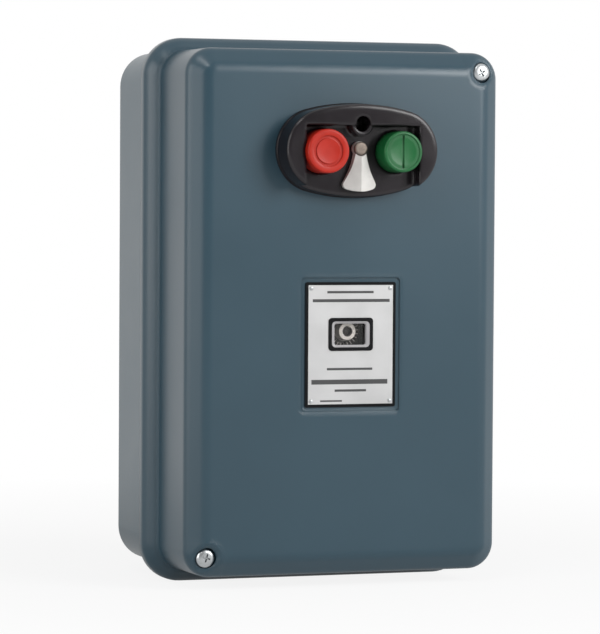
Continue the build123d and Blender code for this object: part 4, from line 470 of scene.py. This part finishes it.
def dial_finish():
    """A brown dial: a pale ring round its socket, and ticks round the edge of its disc."""
    low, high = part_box("current_dial")
    x, z = (low.x + high.x) / 2, (low.z + high.z) / 2
    material, tree, shader = start_material("marked_dial")
    tint = place_group(tree, mottle, Colour=(0.05, 0.038, 0.032, 1), Size=200.0, Amount=0.15)
    pale = place_group(tree, ring_mask, X=x, Z=z, Inner=0.00225, Outer=0.0042).outputs["Mask"]
    band = place_group(tree, ring_mask, X=x, Z=z, Inner=0.0052, Outer=0.0068).outputs["Mask"]
    split = tree.nodes.new("ShaderNodeSeparateXYZ")
    wire(tree, object_place(tree), split.inputs[0])
    across = math_node(tree, "SUBTRACT", split.outputs["X"], x)
    upright = math_node(tree, "SUBTRACT", split.outputs["Z"], z)
    angle = math_node(tree, "ARCTAN2", upright, across)
    tick = math_node(tree, "GREATER_THAN", math_node(tree, "SINE", math_node(tree, "MULTIPLY", angle, 24.0)), 0.8)
    marks = math_node(tree, "MAXIMUM", pale, math_node(tree, "MULTIPLY", tick, band))
    wire(tree, mix_colour(tree, marks, tint.outputs["Colour"], (0.75, 0.68, 0.64)), shader.inputs["Base Color"])
    wire(tree, spread(tree, tint.outputs["Cloud"], 0.0, 1.0, 0.32, 0.46), shader.inputs["Roughness"])
    skin = place_group(tree, grain, Size=1500.0)
    add_bump(tree, shader, skin.outputs["Height"], 0.2, 0.00002)
    return material


finishes["dial_plastic"] = dial_finish()


# ------------------------------------------------------------------------------ smooth copies
slot_of = {entry["node"]: entry["material_slot"] for entry in frame["record"]["subparts"]}
finish_of = {name: finishes[slot] for name, slot in slot_of.items()}
# The pivot pin takes the dark brownish finish, a painted reflection.
finish_of["lever_pivot"] = finishes["brownish_pin"]


def place_piece(piece, name):
    """Gives a piece the finish and the body of the rigid part that it stands for."""
    if piece.name not in bpy.context.scene.collection.objects:
        bpy.context.scene.collection.objects.link(piece)
    piece.data.materials.clear()
    piece.data.materials.append(finish_of[name])
    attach(piece, nodes[name]["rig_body"])
    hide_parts(name)
    return piece


def shade_by_angle(work, angle):
    """Smooth faces, with an edge left sharp where two faces meet at more than the angle."""
    for face in work.faces:
        face.smooth = True
    for edge in work.edges:
        edge.smooth = len(edge.link_faces) == 2 and edge.calc_face_angle(pi) < radians(angle)


def merged_copy(name):
    work = bmesh.new()
    work.from_mesh(nodes[name].data)
    bmesh.ops.remove_doubles(work, verts=work.verts, dist=2e-6)
    return work


def settled(piece):
    """The piece with its modifiers worked into a plain mesh."""
    graph = bpy.context.evaluated_depsgraph_get()
    mesh = bpy.data.meshes.new_from_object(piece.evaluated_get(graph), depsgraph=graph)
    piece.modifiers.clear()
    piece.data = mesh
    return piece


def smooth_copy(name, angle=32.0, reshape=None):
    """The same shape as a rigid part, whose flats stay flat where they run into curves."""
    work = merged_copy(name)
    if reshape:
        work = reshape(work)
    bmesh.ops.dissolve_limit(work, angle_limit=radians(0.4), verts=work.verts, edges=work.edges)
    shade_by_angle(work, angle)
    mesh = bpy.data.meshes.new(name + "_skin")
    work.to_mesh(mesh)
    work.free()
    piece = bpy.data.objects.new(name + "_skin", mesh)
    bpy.context.scene.collection.objects.link(piece)
    weighted = piece.modifiers.new("flats", "WEIGHTED_NORMAL")
    weighted.mode = "FACE_AREA"
    weighted.weight = 60
    weighted.keep_sharp = True
    return place_piece(settled(piece), name)


def separate_boxes(name):
    """The lowest and highest corner of each separate solid in a rigid part."""
    work = merged_copy(name)
    unseen = set(work.verts)
    boxes = []
    while unseen:
        edge_of = [unseen.pop()]
        group = list(edge_of)
        while edge_of:
            for link in edge_of.pop().link_edges:
                for vertex in link.verts:
                    if vertex in unseen:
                        unseen.remove(vertex)
                        edge_of.append(vertex)
                        group.append(vertex)
        low = Vector(min(v.co[i] for v in group) for i in range(3))
        high = Vector(max(v.co[i] for v in group) for i in range(3))
        boxes.append((low, high))
    work.free()
    return boxes


# --------------------------------------------------------------------------- node-tree pieces
def new_tree(name, inputs):
    """A geometry tree with named inputs; returns the tree and its two end nodes."""
    tree = bpy.data.node_groups.new(name, "GeometryNodeTree")
    tree.interface.new_socket("Geometry", in_out="INPUT", socket_type="NodeSocketGeometry")
    for label, kind in inputs:
        tree.interface.new_socket(label, in_out="INPUT", socket_type=kind)
    tree.interface.new_socket("Geometry", in_out="OUTPUT", socket_type="NodeSocketGeometry")
    return tree, tree.nodes.new("NodeGroupInput"), tree.nodes.new("NodeGroupOutput")


def end_tree(tree, start, end, geometry):
    """Realizes the copies and sets their material."""
    real = tree.nodes.new("GeometryNodeRealizeInstances")
    coat = tree.nodes.new("GeometryNodeSetMaterial")
    wire(tree, geometry, real.inputs[0])
    wire(tree, real.outputs[0], coat.inputs["Geometry"])
    wire(tree, start.outputs["Finish"], coat.inputs["Material"])
    wire(tree, coat.outputs[0], end.inputs[0])
    return tree


def make_copies_tree():
    """Copies of one form, set on points and turned about the front-to-back axis by chance."""
    tree, start, end = new_tree("copies_on_points", [
        ("Form", "NodeSocketObject"), ("Turn", "NodeSocketFloat"), ("Seed", "NodeSocketInt"),
        ("Finish", "NodeSocketMaterial"),
    ])
    form = tree.nodes.new("GeometryNodeObjectInfo")
    wire(tree, start.outputs["Form"], form.inputs["Object"])
    chance = tree.nodes.new("FunctionNodeRandomValue")
    chance.data_type = "FLOAT"
    turn_low = math_node(tree, "MULTIPLY", start.outputs["Turn"], -1.0)
    low, high = [s for s in chance.inputs if s.type == "VALUE"][:2]
    wire(tree, turn_low, low)
    wire(tree, start.outputs["Turn"], high)
    wire(tree, start.outputs["Seed"], chance.inputs["Seed"])
    turned = tree.nodes.new("ShaderNodeCombineXYZ")
    wire(tree, [s for s in chance.outputs if s.type == "VALUE"][0], turned.inputs["Y"])
    copies = tree.nodes.new("GeometryNodeInstanceOnPoints")
    wire(tree, start.outputs["Geometry"], copies.inputs["Points"])
    wire(tree, form.outputs["Geometry"], copies.inputs["Instance"])
    wire(tree, turned.outputs[0], copies.inputs["Rotation"])
    return end_tree(tree, start, end, copies.outputs[0])


def make_spring_tree():
    """Helical springs of round wire, one on each point, running forwards from it."""
    tree, start, end = new_tree("coil_springs", [
        ("Radius", "NodeSocketFloat"), ("Wire", "NodeSocketFloat"), ("Turns", "NodeSocketFloat"),
        ("Length", "NodeSocketFloat"), ("Finish", "NodeSocketMaterial"),
    ])
    mean = math_node(tree, "SUBTRACT", start.outputs["Radius"], start.outputs["Wire"])
    rise = math_node(tree, "SUBTRACT", start.outputs["Length"], math_node(tree, "MULTIPLY", start.outputs["Wire"], 2.0))
    helix = tree.nodes.new("GeometryNodeCurveSpiral")
    helix.inputs["Resolution"].default_value = 20
    wire(tree, start.outputs["Turns"], helix.inputs["Rotations"])
    wire(tree, mean, helix.inputs["Start Radius"])
    wire(tree, mean, helix.inputs["End Radius"])
    wire(tree, rise, helix.inputs["Height"])
    section = tree.nodes.new("GeometryNodeCurvePrimitiveCircle")
    section.inputs["Resolution"].default_value = 8
    wire(tree, start.outputs["Wire"], section.inputs["Radius"])
    sweep = tree.nodes.new("GeometryNodeCurveToMesh")
    sweep.inputs["Fill Caps"].default_value = True
    wire(tree, helix.outputs[0], sweep.inputs["Curve"])
    wire(tree, section.outputs[0], sweep.inputs["Profile Curve"])
    ahead = tree.nodes.new("GeometryNodeTransform")
    lift = tree.nodes.new("ShaderNodeCombineXYZ")
    wire(tree, math_node(tree, "MULTIPLY", start.outputs["Wire"], -1.0), lift.inputs["Y"])
    ahead.inputs["Rotation"].default_value = (pi / 2, 0, 0)
    wire(tree, lift.outputs[0], ahead.inputs["Translation"])
    wire(tree, sweep.outputs[0], ahead.inputs["Geometry"])
    copies = tree.nodes.new("GeometryNodeInstanceOnPoints")
    wire(tree, start.outputs["Geometry"], copies.inputs["Points"])
    wire(tree, ahead.outputs[0], copies.inputs["Instance"])
    return end_tree(tree, start, end, copies.outputs[0])


copies_tree = make_copies_tree()
spring_tree = make_spring_tree()


def grow(name, tree, points, **values):
    """A piece made by a geometry tree on the given points, as a plain mesh."""
    mesh = bpy.data.meshes.new(name)
    mesh.from_pydata([tuple(point) for point in points], [], [])
    piece = bpy.data.objects.new(name, mesh)
    bpy.context.scene.collection.objects.link(piece)
    modifier = piece.modifiers.new("form", "NODES")
    modifier.node_group = tree
    sockets = {item.name: item.identifier for item in tree.interface.items_tree if item.in_out == "INPUT"}
    for label, value in values.items():
        modifier[sockets[label]] = value
    return settled(piece)


# ----------------------------------------------------------------------------- screw forms
def lathe(profile, steps=32):
    """A closed solid turned round the Y axis from (radius, forward) pairs, in millimetres."""
    work = bmesh.new()
    rings = []
    for radius, forward in profile:
        if radius == 0:
            rings.append([work.verts.new((0, -forward * MM, 0))])
            continue
        ring = []
        for step in range(steps):
            angle = 2 * pi * step / steps
            ring.append(work.verts.new((radius * MM * cos(angle), -forward * MM, radius * MM * sin(angle))))
        rings.append(ring)
    for first, second in zip(rings, rings[1:]):
        for step in range(steps):
            after = (step + 1) % steps
            corners = [first[step % len(first)], first[after % len(first)],
                       second[after % len(second)], second[step % len(second)]]
            unique = [v for i, v in enumerate(corners) if v not in corners[:i]]
            work.faces.new(unique)
    bmesh.ops.remove_doubles(work, verts=work.verts, dist=1e-7)
    bmesh.ops.recalc_face_normals(work, faces=work.faces)
    return work


def domed_head(radius, height, shank, reach):
    """The outline of a pan-head screw, from its tip to the middle of its head."""
    outline = [(0, -reach), (0.7 * shank, -reach), (shank, -reach + 0.6 * shank), (shank, 0), (radius * 0.97, 0),
               (radius, 0.06 * height), (radius, 0.4 * height)]
    for step in range(1, 8):
        angle = pi / 2 * step / 8
        outline.append((radius * (0.45 + 0.55 * cos(angle)), height * (0.4 + 0.6 * sin(angle))))
    return outline + [(radius * 0.3, height), (0, height)]


def box_cutter(width, depth, back, front, taper=1.0):
    """A small block along Y, in millimetres, narrower at its back end by the taper."""
    work = bmesh.new()
    rings = []
    for forward, share in ((back, taper), (front, 1.0)):
        half_x, half_z = width / 2 * share, depth / 2 * share
        rings.append([work.verts.new((x * MM, -forward * MM, z * MM)) for x, z in
                      ((-half_x, -half_z), (half_x, -half_z), (half_x, half_z), (-half_x, half_z))])
    for side in range(4):
        after = (side + 1) % 4
        work.faces.new((rings[0][side], rings[0][after], rings[1][after], rings[1][side]))
    work.faces.new(rings[0])
    work.faces.new(rings[1])
    bmesh.ops.recalc_face_normals(work, faces=work.faces)
    return work


def as_object(name, work):
    mesh = bpy.data.meshes.new(name)
    work.to_mesh(mesh)
    work.free()
    thing = bpy.data.objects.new(name, mesh)
    bpy.context.scene.collection.objects.link(thing)
    return thing


def drop(thing):
    bpy.data.objects.remove(thing, do_unlink=True)


def carved(work, tools, operation="DIFFERENCE"):
    """A form less other forms, or only what lies inside them; all of them are used up."""
    body = as_object("body", work)
    others = [as_object("tool", tool) for tool in tools]
    for other in others:
        step = body.modifiers.new("cut", "BOOLEAN")
        step.object = other
        step.operation = operation
        step.solver = "EXACT"
    settled(body)
    result = bmesh.new()
    result.from_mesh(body.data)
    for thing in (body, *others):
        drop(thing)
    return result


def shaded_object(name, work):
    shade_by_angle(work, 34)
    return as_object(name, work)


def cross_screw(radius, height, shank, reach):
    """A pan-head screw with a cross recess that narrows downwards."""
    floor = 0.6 * height
    long, narrow = 1.0 * radius, 0.2 * radius
    arms = [box_cutter(long, narrow, floor, 1.2 * height, 0.55), box_cutter(narrow, long, floor, 1.2 * height, 0.55)]
    return shaded_object("cross_screw", carved(lathe(domed_head(radius, height, shank, reach)), arms))


def slotted_screw(radius, height, shank, reach):
    """A cheese-like head with one slot across it."""
    slot = box_cutter(2.4 * radius, 0.26 * radius, 0.45 * height, 1.2 * height)
    return shaded_object("slotted_screw", carved(lathe(domed_head(radius, height, shank, reach)), [slot]))


def set_screws(name, form, height, turn=pi, seed=3, mirrored_in=None):
    """Screws of one form in every place where a rigid part has one; the form is used up."""
    seats = [Vector(((low.x + high.x) / 2, low.y + height * MM, (low.z + high.z) / 2))
             for low, high in separate_boxes(name)]
    if mirrored_in:
        low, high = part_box(mirrored_in)
        seats += [Vector((low.x + high.x - seat.x, seat.y, seat.z)) for seat in seats]
    piece = grow(name + "_set", copies_tree, seats, Form=form, Turn=turn, Seed=seed, Finish=finish_of[name])
    drop(form)
    return place_piece(piece, name)


def coil_springs(name, wire_size, turns, joint=None):
    """Coil springs inside the sleeves that stand for them; a spring given a joint gets a mesh of its own."""
    boxes = separate_boxes(name)
    low, high = boxes[0]
    length = high.y - low.y
    backs = [Vector(((a.x + b.x) / 2, b.y, (a.z + b.z) / 2)) for a, b in boxes]
    piece = grow(name + "_coil", spring_tree, backs, Radius=(high.x - low.x) / 2, Wire=wire_size / 2 * MM,
                 Turns=turns, Length=length, Finish=finish_of[name])
    for polygon in piece.data.polygons:
        polygon.use_smooth = True
    place_piece(piece, name)
    if joint:
        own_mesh(piece)
    return piece


# ------------------------------------------------------- softer forms of the cover and buttons
WALL_HALF_WIDTH = 71.0
WALL_HALF_HEIGHT = 112.0
WALL_CORNER = 11.5
SHOULDER_DEPTH = 56.8
SHOULDER_ROLL = 1.9            # how far behind the shoulder its rolled edge reaches
SHOULDER_WIDTH = 5.6
SHOULDER_FLAT = 1.4            # level part next to the wall
SHOULDER_FALL = 3.4            # from the level part back to the outer edge
FRONT_DEPTH = 98.7
RECESS_FLOOR = 97.9
RECESS_MARGIN = 1.0            # level floor round the plate
RECESS_SLOPE = 1.5             # width of the recess's sloping border
POCKET_RADIUS = 6.0
POCKET_MOUTH = 7.0
POCKET_FOOT = 4.4
POCKET_DEPTH = 5.7
POCKET_SLOPE = 1.3             # depth of the sloping part of the pocket's wall


def beyond_wall(x, z):
    """How far a place lies outside the cover's upright walls, in millimetres."""
    across = abs(x) - (WALL_HALF_WIDTH - WALL_CORNER)
    upright = abs(z) - (WALL_HALF_HEIGHT - WALL_CORNER)
    return Vector((max(across, 0), max(upright, 0))).length + min(max(across, upright), 0) - WALL_CORNER


def slope_shoulder(work):
    """Leans the cover's shoulder back towards its outer edge."""
    for vertex in work.verts:
        x, y, z = (value / MM for value in vertex.co)
        out = beyond_wall(x, z) - SHOULDER_FLAT
        if out > 0 and SHOULDER_DEPTH - SHOULDER_ROLL < -y < SHOULDER_DEPTH + 0.2:
            vertex.co.y += SHOULDER_FALL * min(out / (SHOULDER_WIDTH - SHOULDER_FLAT), 1.0) * MM
    return work


def moved(work, x, y, z):
    """A form moved to a place given in metres."""
    bmesh.ops.translate(work, verts=work.verts, vec=(x, y, z))
    return work


def flared_block(half_x, half_z, corner, depths, flare, steps=8):
    """A block with rounded corners that widens by flare towards the front, in millimetres."""
    work = bmesh.new()
    rings = []
    for depth, grow_by in zip(depths, (0.0, flare)):
        ring = []
        round_by = corner + grow_by
        for quarter, (side_x, side_z) in enumerate(((1, 1), (-1, 1), (-1, -1), (1, -1))):
            for step in range(steps + 1):
                angle = pi / 2 * (quarter + step / steps)
                x = side_x * (half_x - corner) + round_by * cos(angle)
                z = side_z * (half_z - corner) + round_by * sin(angle)
                ring.append(work.verts.new((x * MM, -depth * MM, z * MM)))
        rings.append(ring)
    count = len(rings[0])
    for step in range(count):
        after = (step + 1) % count
        work.faces.new((rings[0][step], rings[0][after], rings[1][after], rings[1][step]))
    for ring in rings:
        work.faces.new(ring)
    bmesh.ops.recalc_face_normals(work, faces=work.faces)
    return work


def screw_axes():
    """Where the cover screws' axes meet the front, in metres."""
    heads = [box for box in separate_boxes("cover_screws") if box[1].y - box[0].y > 0.005]
    return [((low.x + high.x) / 2, (low.z + high.z) / 2) for low, high in heads]


def outside_of_cover():
    """The cover's walls, bevel and front as one filled form."""
    form = bmesh.new()
    for vertex in nodes["cover_shell"].data.vertices:
        if -vertex.co.y / MM > SHOULDER_DEPTH + 3.0:
            form.verts.new(vertex.co)
    bmesh.ops.remove_doubles(form, verts=form.verts, dist=2e-6)
    bmesh.ops.convex_hull(form, input=form.verts)
    bmesh.ops.delete(form, geom=[v for v in form.verts if not v.link_faces], context="VERTS")
    bmesh.ops.recalc_face_normals(form, faces=form.faces)
    return form


def shape_cover(work):
    """The shoulder sloped, and sloping borders given to the plate's recess and both pockets."""
    work = slope_shoulder(work)
    low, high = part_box("rating_plate")
    middle = (low + high) / 2
    half_x = (high.x - low.x) / 2 / MM + RECESS_MARGIN
    half_z = (high.z - low.z) / 2 / MM + RECESS_MARGIN
    above = 0.4
    share = (FRONT_DEPTH + above - RECESS_FLOOR) / (FRONT_DEPTH - RECESS_FLOOR)
    recess = flared_block(half_x, half_z, 1.6, (RECESS_FLOOR, FRONT_DEPTH + above), RECESS_SLOPE * share)
    tools = [moved(recess, middle.x, 0, middle.z)]
    lean = (POCKET_MOUTH - POCKET_FOOT) / POCKET_SLOPE
    meeting = FRONT_DEPTH - (POCKET_MOUTH - POCKET_RADIUS) / lean
    for x, z in screw_axes():
        mouth = [(0, meeting), (POCKET_RADIUS, meeting), (POCKET_MOUTH + lean * above, FRONT_DEPTH + above),
                 (0, FRONT_DEPTH + above)]
        tools.append(moved(lathe(mouth, 48), x, 0, z))
    work = carved(work, tools)
    for x, z in screw_axes():
        outer = POCKET_RADIUS + 0.02
        floor = FRONT_DEPTH - POCKET_DEPTH
        collar = [(POCKET_FOOT, floor), (outer, floor), (outer, meeting), (POCKET_FOOT, FRONT_DEPTH - POCKET_SLOPE),
                  (POCKET_FOOT, floor)]
        trimmed = carved(moved(lathe(collar, 48), x, 0, z), [outside_of_cover()], "INTERSECT")
        mesh = bpy.data.meshes.new("collar")
        trimmed.to_mesh(mesh)
        trimmed.free()
        work.from_mesh(mesh)
    return work


def dished(name, rim, depth):
    """A reshaping that hollows a button's face into a shallow dish inside its rim."""
    low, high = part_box(name)
    outer = (high.x - low.x) / 2 / MM - rim
    bowl = [(0, -depth)] + [(outer * step / 8, -depth * (1 - (step / 8) ** 3)) for step in range(1, 9)]
    bowl += [(outer + 0.6, 1.0), (0, 1.0)]

    def reshape(work):
        return carved(work, [moved(lathe(bowl, 48), (low.x + high.x) / 2, low.y, (low.z + high.z) / 2)])

    return reshape


def framed(half_x, half_z, outline, x, z, steps=6):
    """A closed ring round a rectangle from (inset in X, inset in Z, depth, corner) in millimetres."""
    work = bmesh.new()
    rings = []
    for inset_x, inset_z, depth, corner in outline:
        ring = []
        for quarter, (side_x, side_z) in enumerate(((1, 1), (-1, 1), (-1, -1), (1, -1))):
            for step in range(steps + 1):
                angle = pi / 2 * (quarter + step / steps)
                place_x = side_x * (half_x - inset_x - corner) + corner * cos(angle)
                place_z = side_z * (half_z - inset_z - corner) + corner * sin(angle)
                ring.append(work.verts.new((x + place_x * MM, -depth * MM, z + place_z * MM)))
        rings.append(ring)
    count = len(rings[0])
    for first, second in zip(rings, rings[1:] + rings[:1]):
        for step in range(count):
            after = (step + 1) % count
            work.faces.new((first[step], first[after], second[after], second[step]))
    bmesh.ops.recalc_face_normals(work, faces=work.faces)
    return work


def window_rings():
    """The window's black frame with its thin lip, and the pale ring that leads in to the pane."""
    low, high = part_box("window_frame")
    middle = (low + high) / 2
    half_x = (high.x - low.x) / 2 / MM
    half_z = (high.z - low.z) / 2 / MM
    front = -low.y / MM
    back = -high.y / MM
    seat = front - 0.5
    pane = -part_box("window_pane")[0].y / MM
    black = [(0, 0, seat, 1.5), (0, 0, front - 0.2, 1.5), (0.2, 0.2, front, 1.4), (1.3, 1.3, front, 1.7),
             (1.5, 1.5, front - 0.2, 1.7), (1.5, 1.5, back, 1.7), (0.95, 0.95, back, 2.4), (0.95, 0.95, seat, 2.4)]
    pale = [(1.52, 1.52, front - 0.3, 1.7), (1.8, 1.75, front - 0.3, 1.5), (2.9, 2.5, front - 0.9, 0.9),
            (2.9, 2.5, pane, 0.9), (1.52, 1.52, pane, 1.7)]
    for name, outline in (("window_frame", black), ("window_liner", pale)):
        ring = framed(half_x, half_z, outline, middle.x, middle.z)
        place_piece(shaded_object(name + "_ring", ring), name)


reshapings = {
    "cover_shell": shape_cover,
    "cover_gasket": slope_shoulder,
    "stop_button": dished("stop_button", 1.7, 0.8),
    "start_button": dished("start_button", 1.3, 0.9),
}
made_apart = {"cover_screws", "mounting_screws", "terminal_screws", "block_screws", "bezel_screw",
              "stop_spring", "start_spring", "stop_plunger_spring", "start_plunger_spring", "return_springs",
              "contact_springs", "plate_rivets", "window_frame", "window_liner"}
for name in nodes:
    if name not in made_apart:
        smooth_copy(name, reshape=reshapings.get(name))

set_screws("mounting_screws", cross_screw(3.4, 2.4, 1.8, 5.0), 2.4, seed=5)
set_screws("terminal_screws", slotted_screw(3.7, 2.4, 1.9, 9.0), 2.4, turn=0.5, seed=7)
set_screws("block_screws", cross_screw(2.8, 2.0, 1.5, 9.6), 2.0, seed=11)
set_screws("bezel_screw", slotted_screw(2.6, 2.0, 1.5, 8.0), 2.0, turn=0.4, seed=2)
rivet = lathe([(0, -0.6), (0.45, -0.6), (0.45, 0), (0.9, 0), (0.84, 0.25), (0.6, 0.42), (0.3, 0.5), (0, 0.5)], 20)
set_screws("plate_rivets", shaded_object("rivet", rivet), 0.5, mirrored_in="rating_plate")


def cover_screw_set():
    """Two bright screws, each on a plain washer."""
    boxes = separate_boxes("cover_screws")
    screws = [(low, high) for low, high in boxes if high.y - low.y > 0.005]
    washers = [(low, high) for low, high in boxes if high.y - low.y <= 0.005]
    form = cross_screw(4.2, 3.2, 2.0, 14.0)
    washer = as_object("washer", lathe([(2.0, 0.0), (4.3, 0.0), (4.5, 0.15), (4.5, 0.45), (4.3, 0.6), (2.0, 0.6),
                                        (2.0, 0.0)], 40))
    seats = [Vector(((a.x + b.x) / 2, a.y + 2.5 * MM, (a.z + b.z) / 2)) for a, b in screws]
    backs = [Vector(((a.x + b.x) / 2, b.y, (a.z + b.z) / 2)) for a, b in washers]
    finish = finish_of["cover_screws"]
    heads = grow("cover_screw_heads", copies_tree, seats, Form=form, Turn=0.7, Seed=4, Finish=finish)
    plain = grow("cover_screw_washers", copies_tree, backs, Form=washer, Turn=0.0, Seed=1, Finish=finish)
    drop(form)
    drop(washer)
    work = bmesh.new()
    work.from_mesh(heads.data)
    work.from_mesh(plain.data)
    shade_by_angle(work, 34)
    work.to_mesh(heads.data)
    work.free()
    drop(plain)
    return place_piece(heads, "cover_screws")


cover_screw_set()
window_rings()
coil_springs("stop_spring", 1.0, 7.0, "stop_press")
coil_springs("start_spring", 1.0, 7.0, "start_press")
coil_springs("stop_plunger_spring", 0.5, 4.0, "stop_plunger_slide")
coil_springs("start_plunger_spring", 0.5, 4.0, "start_plunger_slide")
coil_springs("return_springs", 0.6, 8.0, "armature_pull_in")
coil_springs("contact_springs", 0.6, 4.5)


# ------------------------------------------------------------------------- light and camera
WORLD_LIGHT = 0.25
AHEAD_LIGHT = 0.37
FLOOR_IN_GLOSS = 0.4


def area_lamp(name, place, aim, size, power):
    data = bpy.data.lights.new(name, "AREA")
    data.shape = "RECTANGLE"
    data.size, data.size_y = size
    data.energy = power
    lamp = bpy.data.objects.new(name, data)
    lamp.location = place
    lamp.rotation_mode = "QUATERNION"
    lamp.rotation_quaternion = (Vector(aim) - Vector(place)).to_track_quat("-Z", "Y")
    bpy.context.scene.collection.objects.link(lamp)
    return lamp


def pale_floor():
    """A pale floor under the starter that turns into the white surround away from it."""
    mesh = bpy.data.meshes.new("floor")
    reach = 3.0
    level = cad_box[0].z
    mesh.from_pydata(
        [(-reach, -reach, level), (reach, -reach, level), (reach, reach, level), (-reach, reach, level)], [],
        [(0, 1, 2, 3)],
    )
    floor = bpy.data.objects.new("floor", mesh)
    bpy.context.scene.collection.objects.link(floor)
    material = bpy.data.materials.new("pale_floor")
    material.use_nodes = True
    tree = material.node_tree
    shader = tree.nodes["Principled BSDF"]
    shader.inputs["Base Color"].default_value = (0.82, 0.82, 0.82, 1)
    shader.inputs["Roughness"].default_value = 0.8
    shader.inputs["Specular IOR Level"].default_value = 0.1
    glow = tree.nodes.new("ShaderNodeEmission")
    length = tree.nodes.new("ShaderNodeVectorMath")
    length.operation = "LENGTH"
    wire(tree, object_place(tree), length.inputs[0])
    rays = tree.nodes.new("ShaderNodeLightPath")
    clear = math_node(tree, "MAXIMUM", rays.outputs["Is Camera Ray"], rays.outputs["Is Transmission Ray"])
    seen = math_node(tree, "MULTIPLY", clear, spread(tree, length.outputs["Value"], 0.1, 0.5, 0.86, 1.0))
    shine = spread(tree, length.outputs["Value"], 0.2, 0.6, FLOOR_IN_GLOSS, 1.0)
    shone = math_node(tree, "MULTIPLY", rays.outputs["Is Glossy Ray"], shine)
    blend = tree.nodes.new("ShaderNodeMixShader")
    wire(tree, math_node(tree, "MAXIMUM", seen, shone), blend.inputs["Fac"])
    wire(tree, shader.outputs[0], blend.inputs[1])
    wire(tree, glow.outputs[0], blend.inputs[2])
    wire(tree, blend.outputs[0], tree.nodes["Material Output"].inputs["Surface"])
    mesh.materials.append(material)


def surround():
    """A white surround: soft on matt faces, and dimmer ahead of the starter in its gloss."""
    world = bpy.data.worlds.new("surround")
    world.use_nodes = True
    bpy.context.scene.world = world
    tree = world.node_tree
    tree.nodes.clear()
    out = tree.nodes.new("ShaderNodeOutputWorld")
    way = tree.nodes.new("ShaderNodeSeparateXYZ")
    wire(tree, tree.nodes.new("ShaderNodeTexCoord").outputs["Generated"], way.inputs[0])
    in_gloss = spread(tree, way.outputs["Y"], -0.85, -0.1, AHEAD_LIGHT, 1.0)
    rays = tree.nodes.new("ShaderNodeLightPath")
    clear = math_node(tree, "MAXIMUM", rays.outputs["Is Camera Ray"], rays.outputs["Is Transmission Ray"])
    matt = spread(tree, rays.outputs["Is Glossy Ray"], 0.0, 1.0, WORLD_LIGHT, in_gloss)
    strength = spread(tree, clear, 0.0, 1.0, matt, 1.0)
    shade = tree.nodes.new("ShaderNodeBackground")
    shade.inputs["Color"].default_value = (1, 1, 1, 1)
    wire(tree, strength, shade.inputs["Strength"])
    wire(tree, shade.outputs[0], out.inputs["Surface"])


def studio():
    pale_floor()
    surround()
    area_lamp("left_soft", (-1.35, -0.55, 0.35), (0, -0.05, 0), (0.7, 1.0), 6.0)
    area_lamp("over_soft", (-0.5, -0.7, 1.0), (0, -0.1, 0.05), (0.3, 0.3), 2.0)
    area_lamp("key_soft", (0.66, -0.95, 0.46), (0.02, -0.1, 0.02), (0.6, 0.6), 10.0)


CAMERA_DISTANCE = 1.5639
CAMERA_AZIMUTH = radians(19.87)
CAMERA_ELEVATION = radians(1.845)
AIM_YAW = radians(0.518)
AIM_PITCH = radians(-0.191)
CAMERA_ROLL = radians(0.345)
FOCAL_PIXELS = 3450.0
FRAME_HEIGHT = 634.0


def camera():
    """The camera to the left of the starter and a little above its middle."""
    place = CAMERA_DISTANCE * Vector(
        (-sin(CAMERA_AZIMUTH) * cos(CAMERA_ELEVATION), -cos(CAMERA_AZIMUTH) * cos(CAMERA_ELEVATION), sin(CAMERA_ELEVATION))
    )
    up = Vector((0, 0, 1))
    ahead = -place.normalized()
    right = ahead.cross(up)
    over = right.cross(ahead)
    ahead = (ahead + AIM_YAW * right + AIM_PITCH * over).normalized()
    right = ahead.cross(up).normalized()
    over = right.cross(ahead)
    across = cos(CAMERA_ROLL) * right + sin(CAMERA_ROLL) * over
    upright = cos(CAMERA_ROLL) * over - sin(CAMERA_ROLL) * right
    data = bpy.data.cameras.new("camera")
    data.sensor_width = 36.0
    data.lens = FOCAL_PIXELS * data.sensor_width / FRAME_HEIGHT
    data.clip_start = 0.05
    data.clip_end = 20.0
    view = bpy.data.objects.new("camera", data)
    turn = Matrix((across, upright, -ahead)).transposed().to_4x4()
    view.matrix_world = Matrix.Translation(place) @ turn
    bpy.context.scene.collection.objects.link(view)
    bpy.context.scene.camera = view


studio()
camera()
bpy.context.scene.view_settings.view_transform = "Standard"
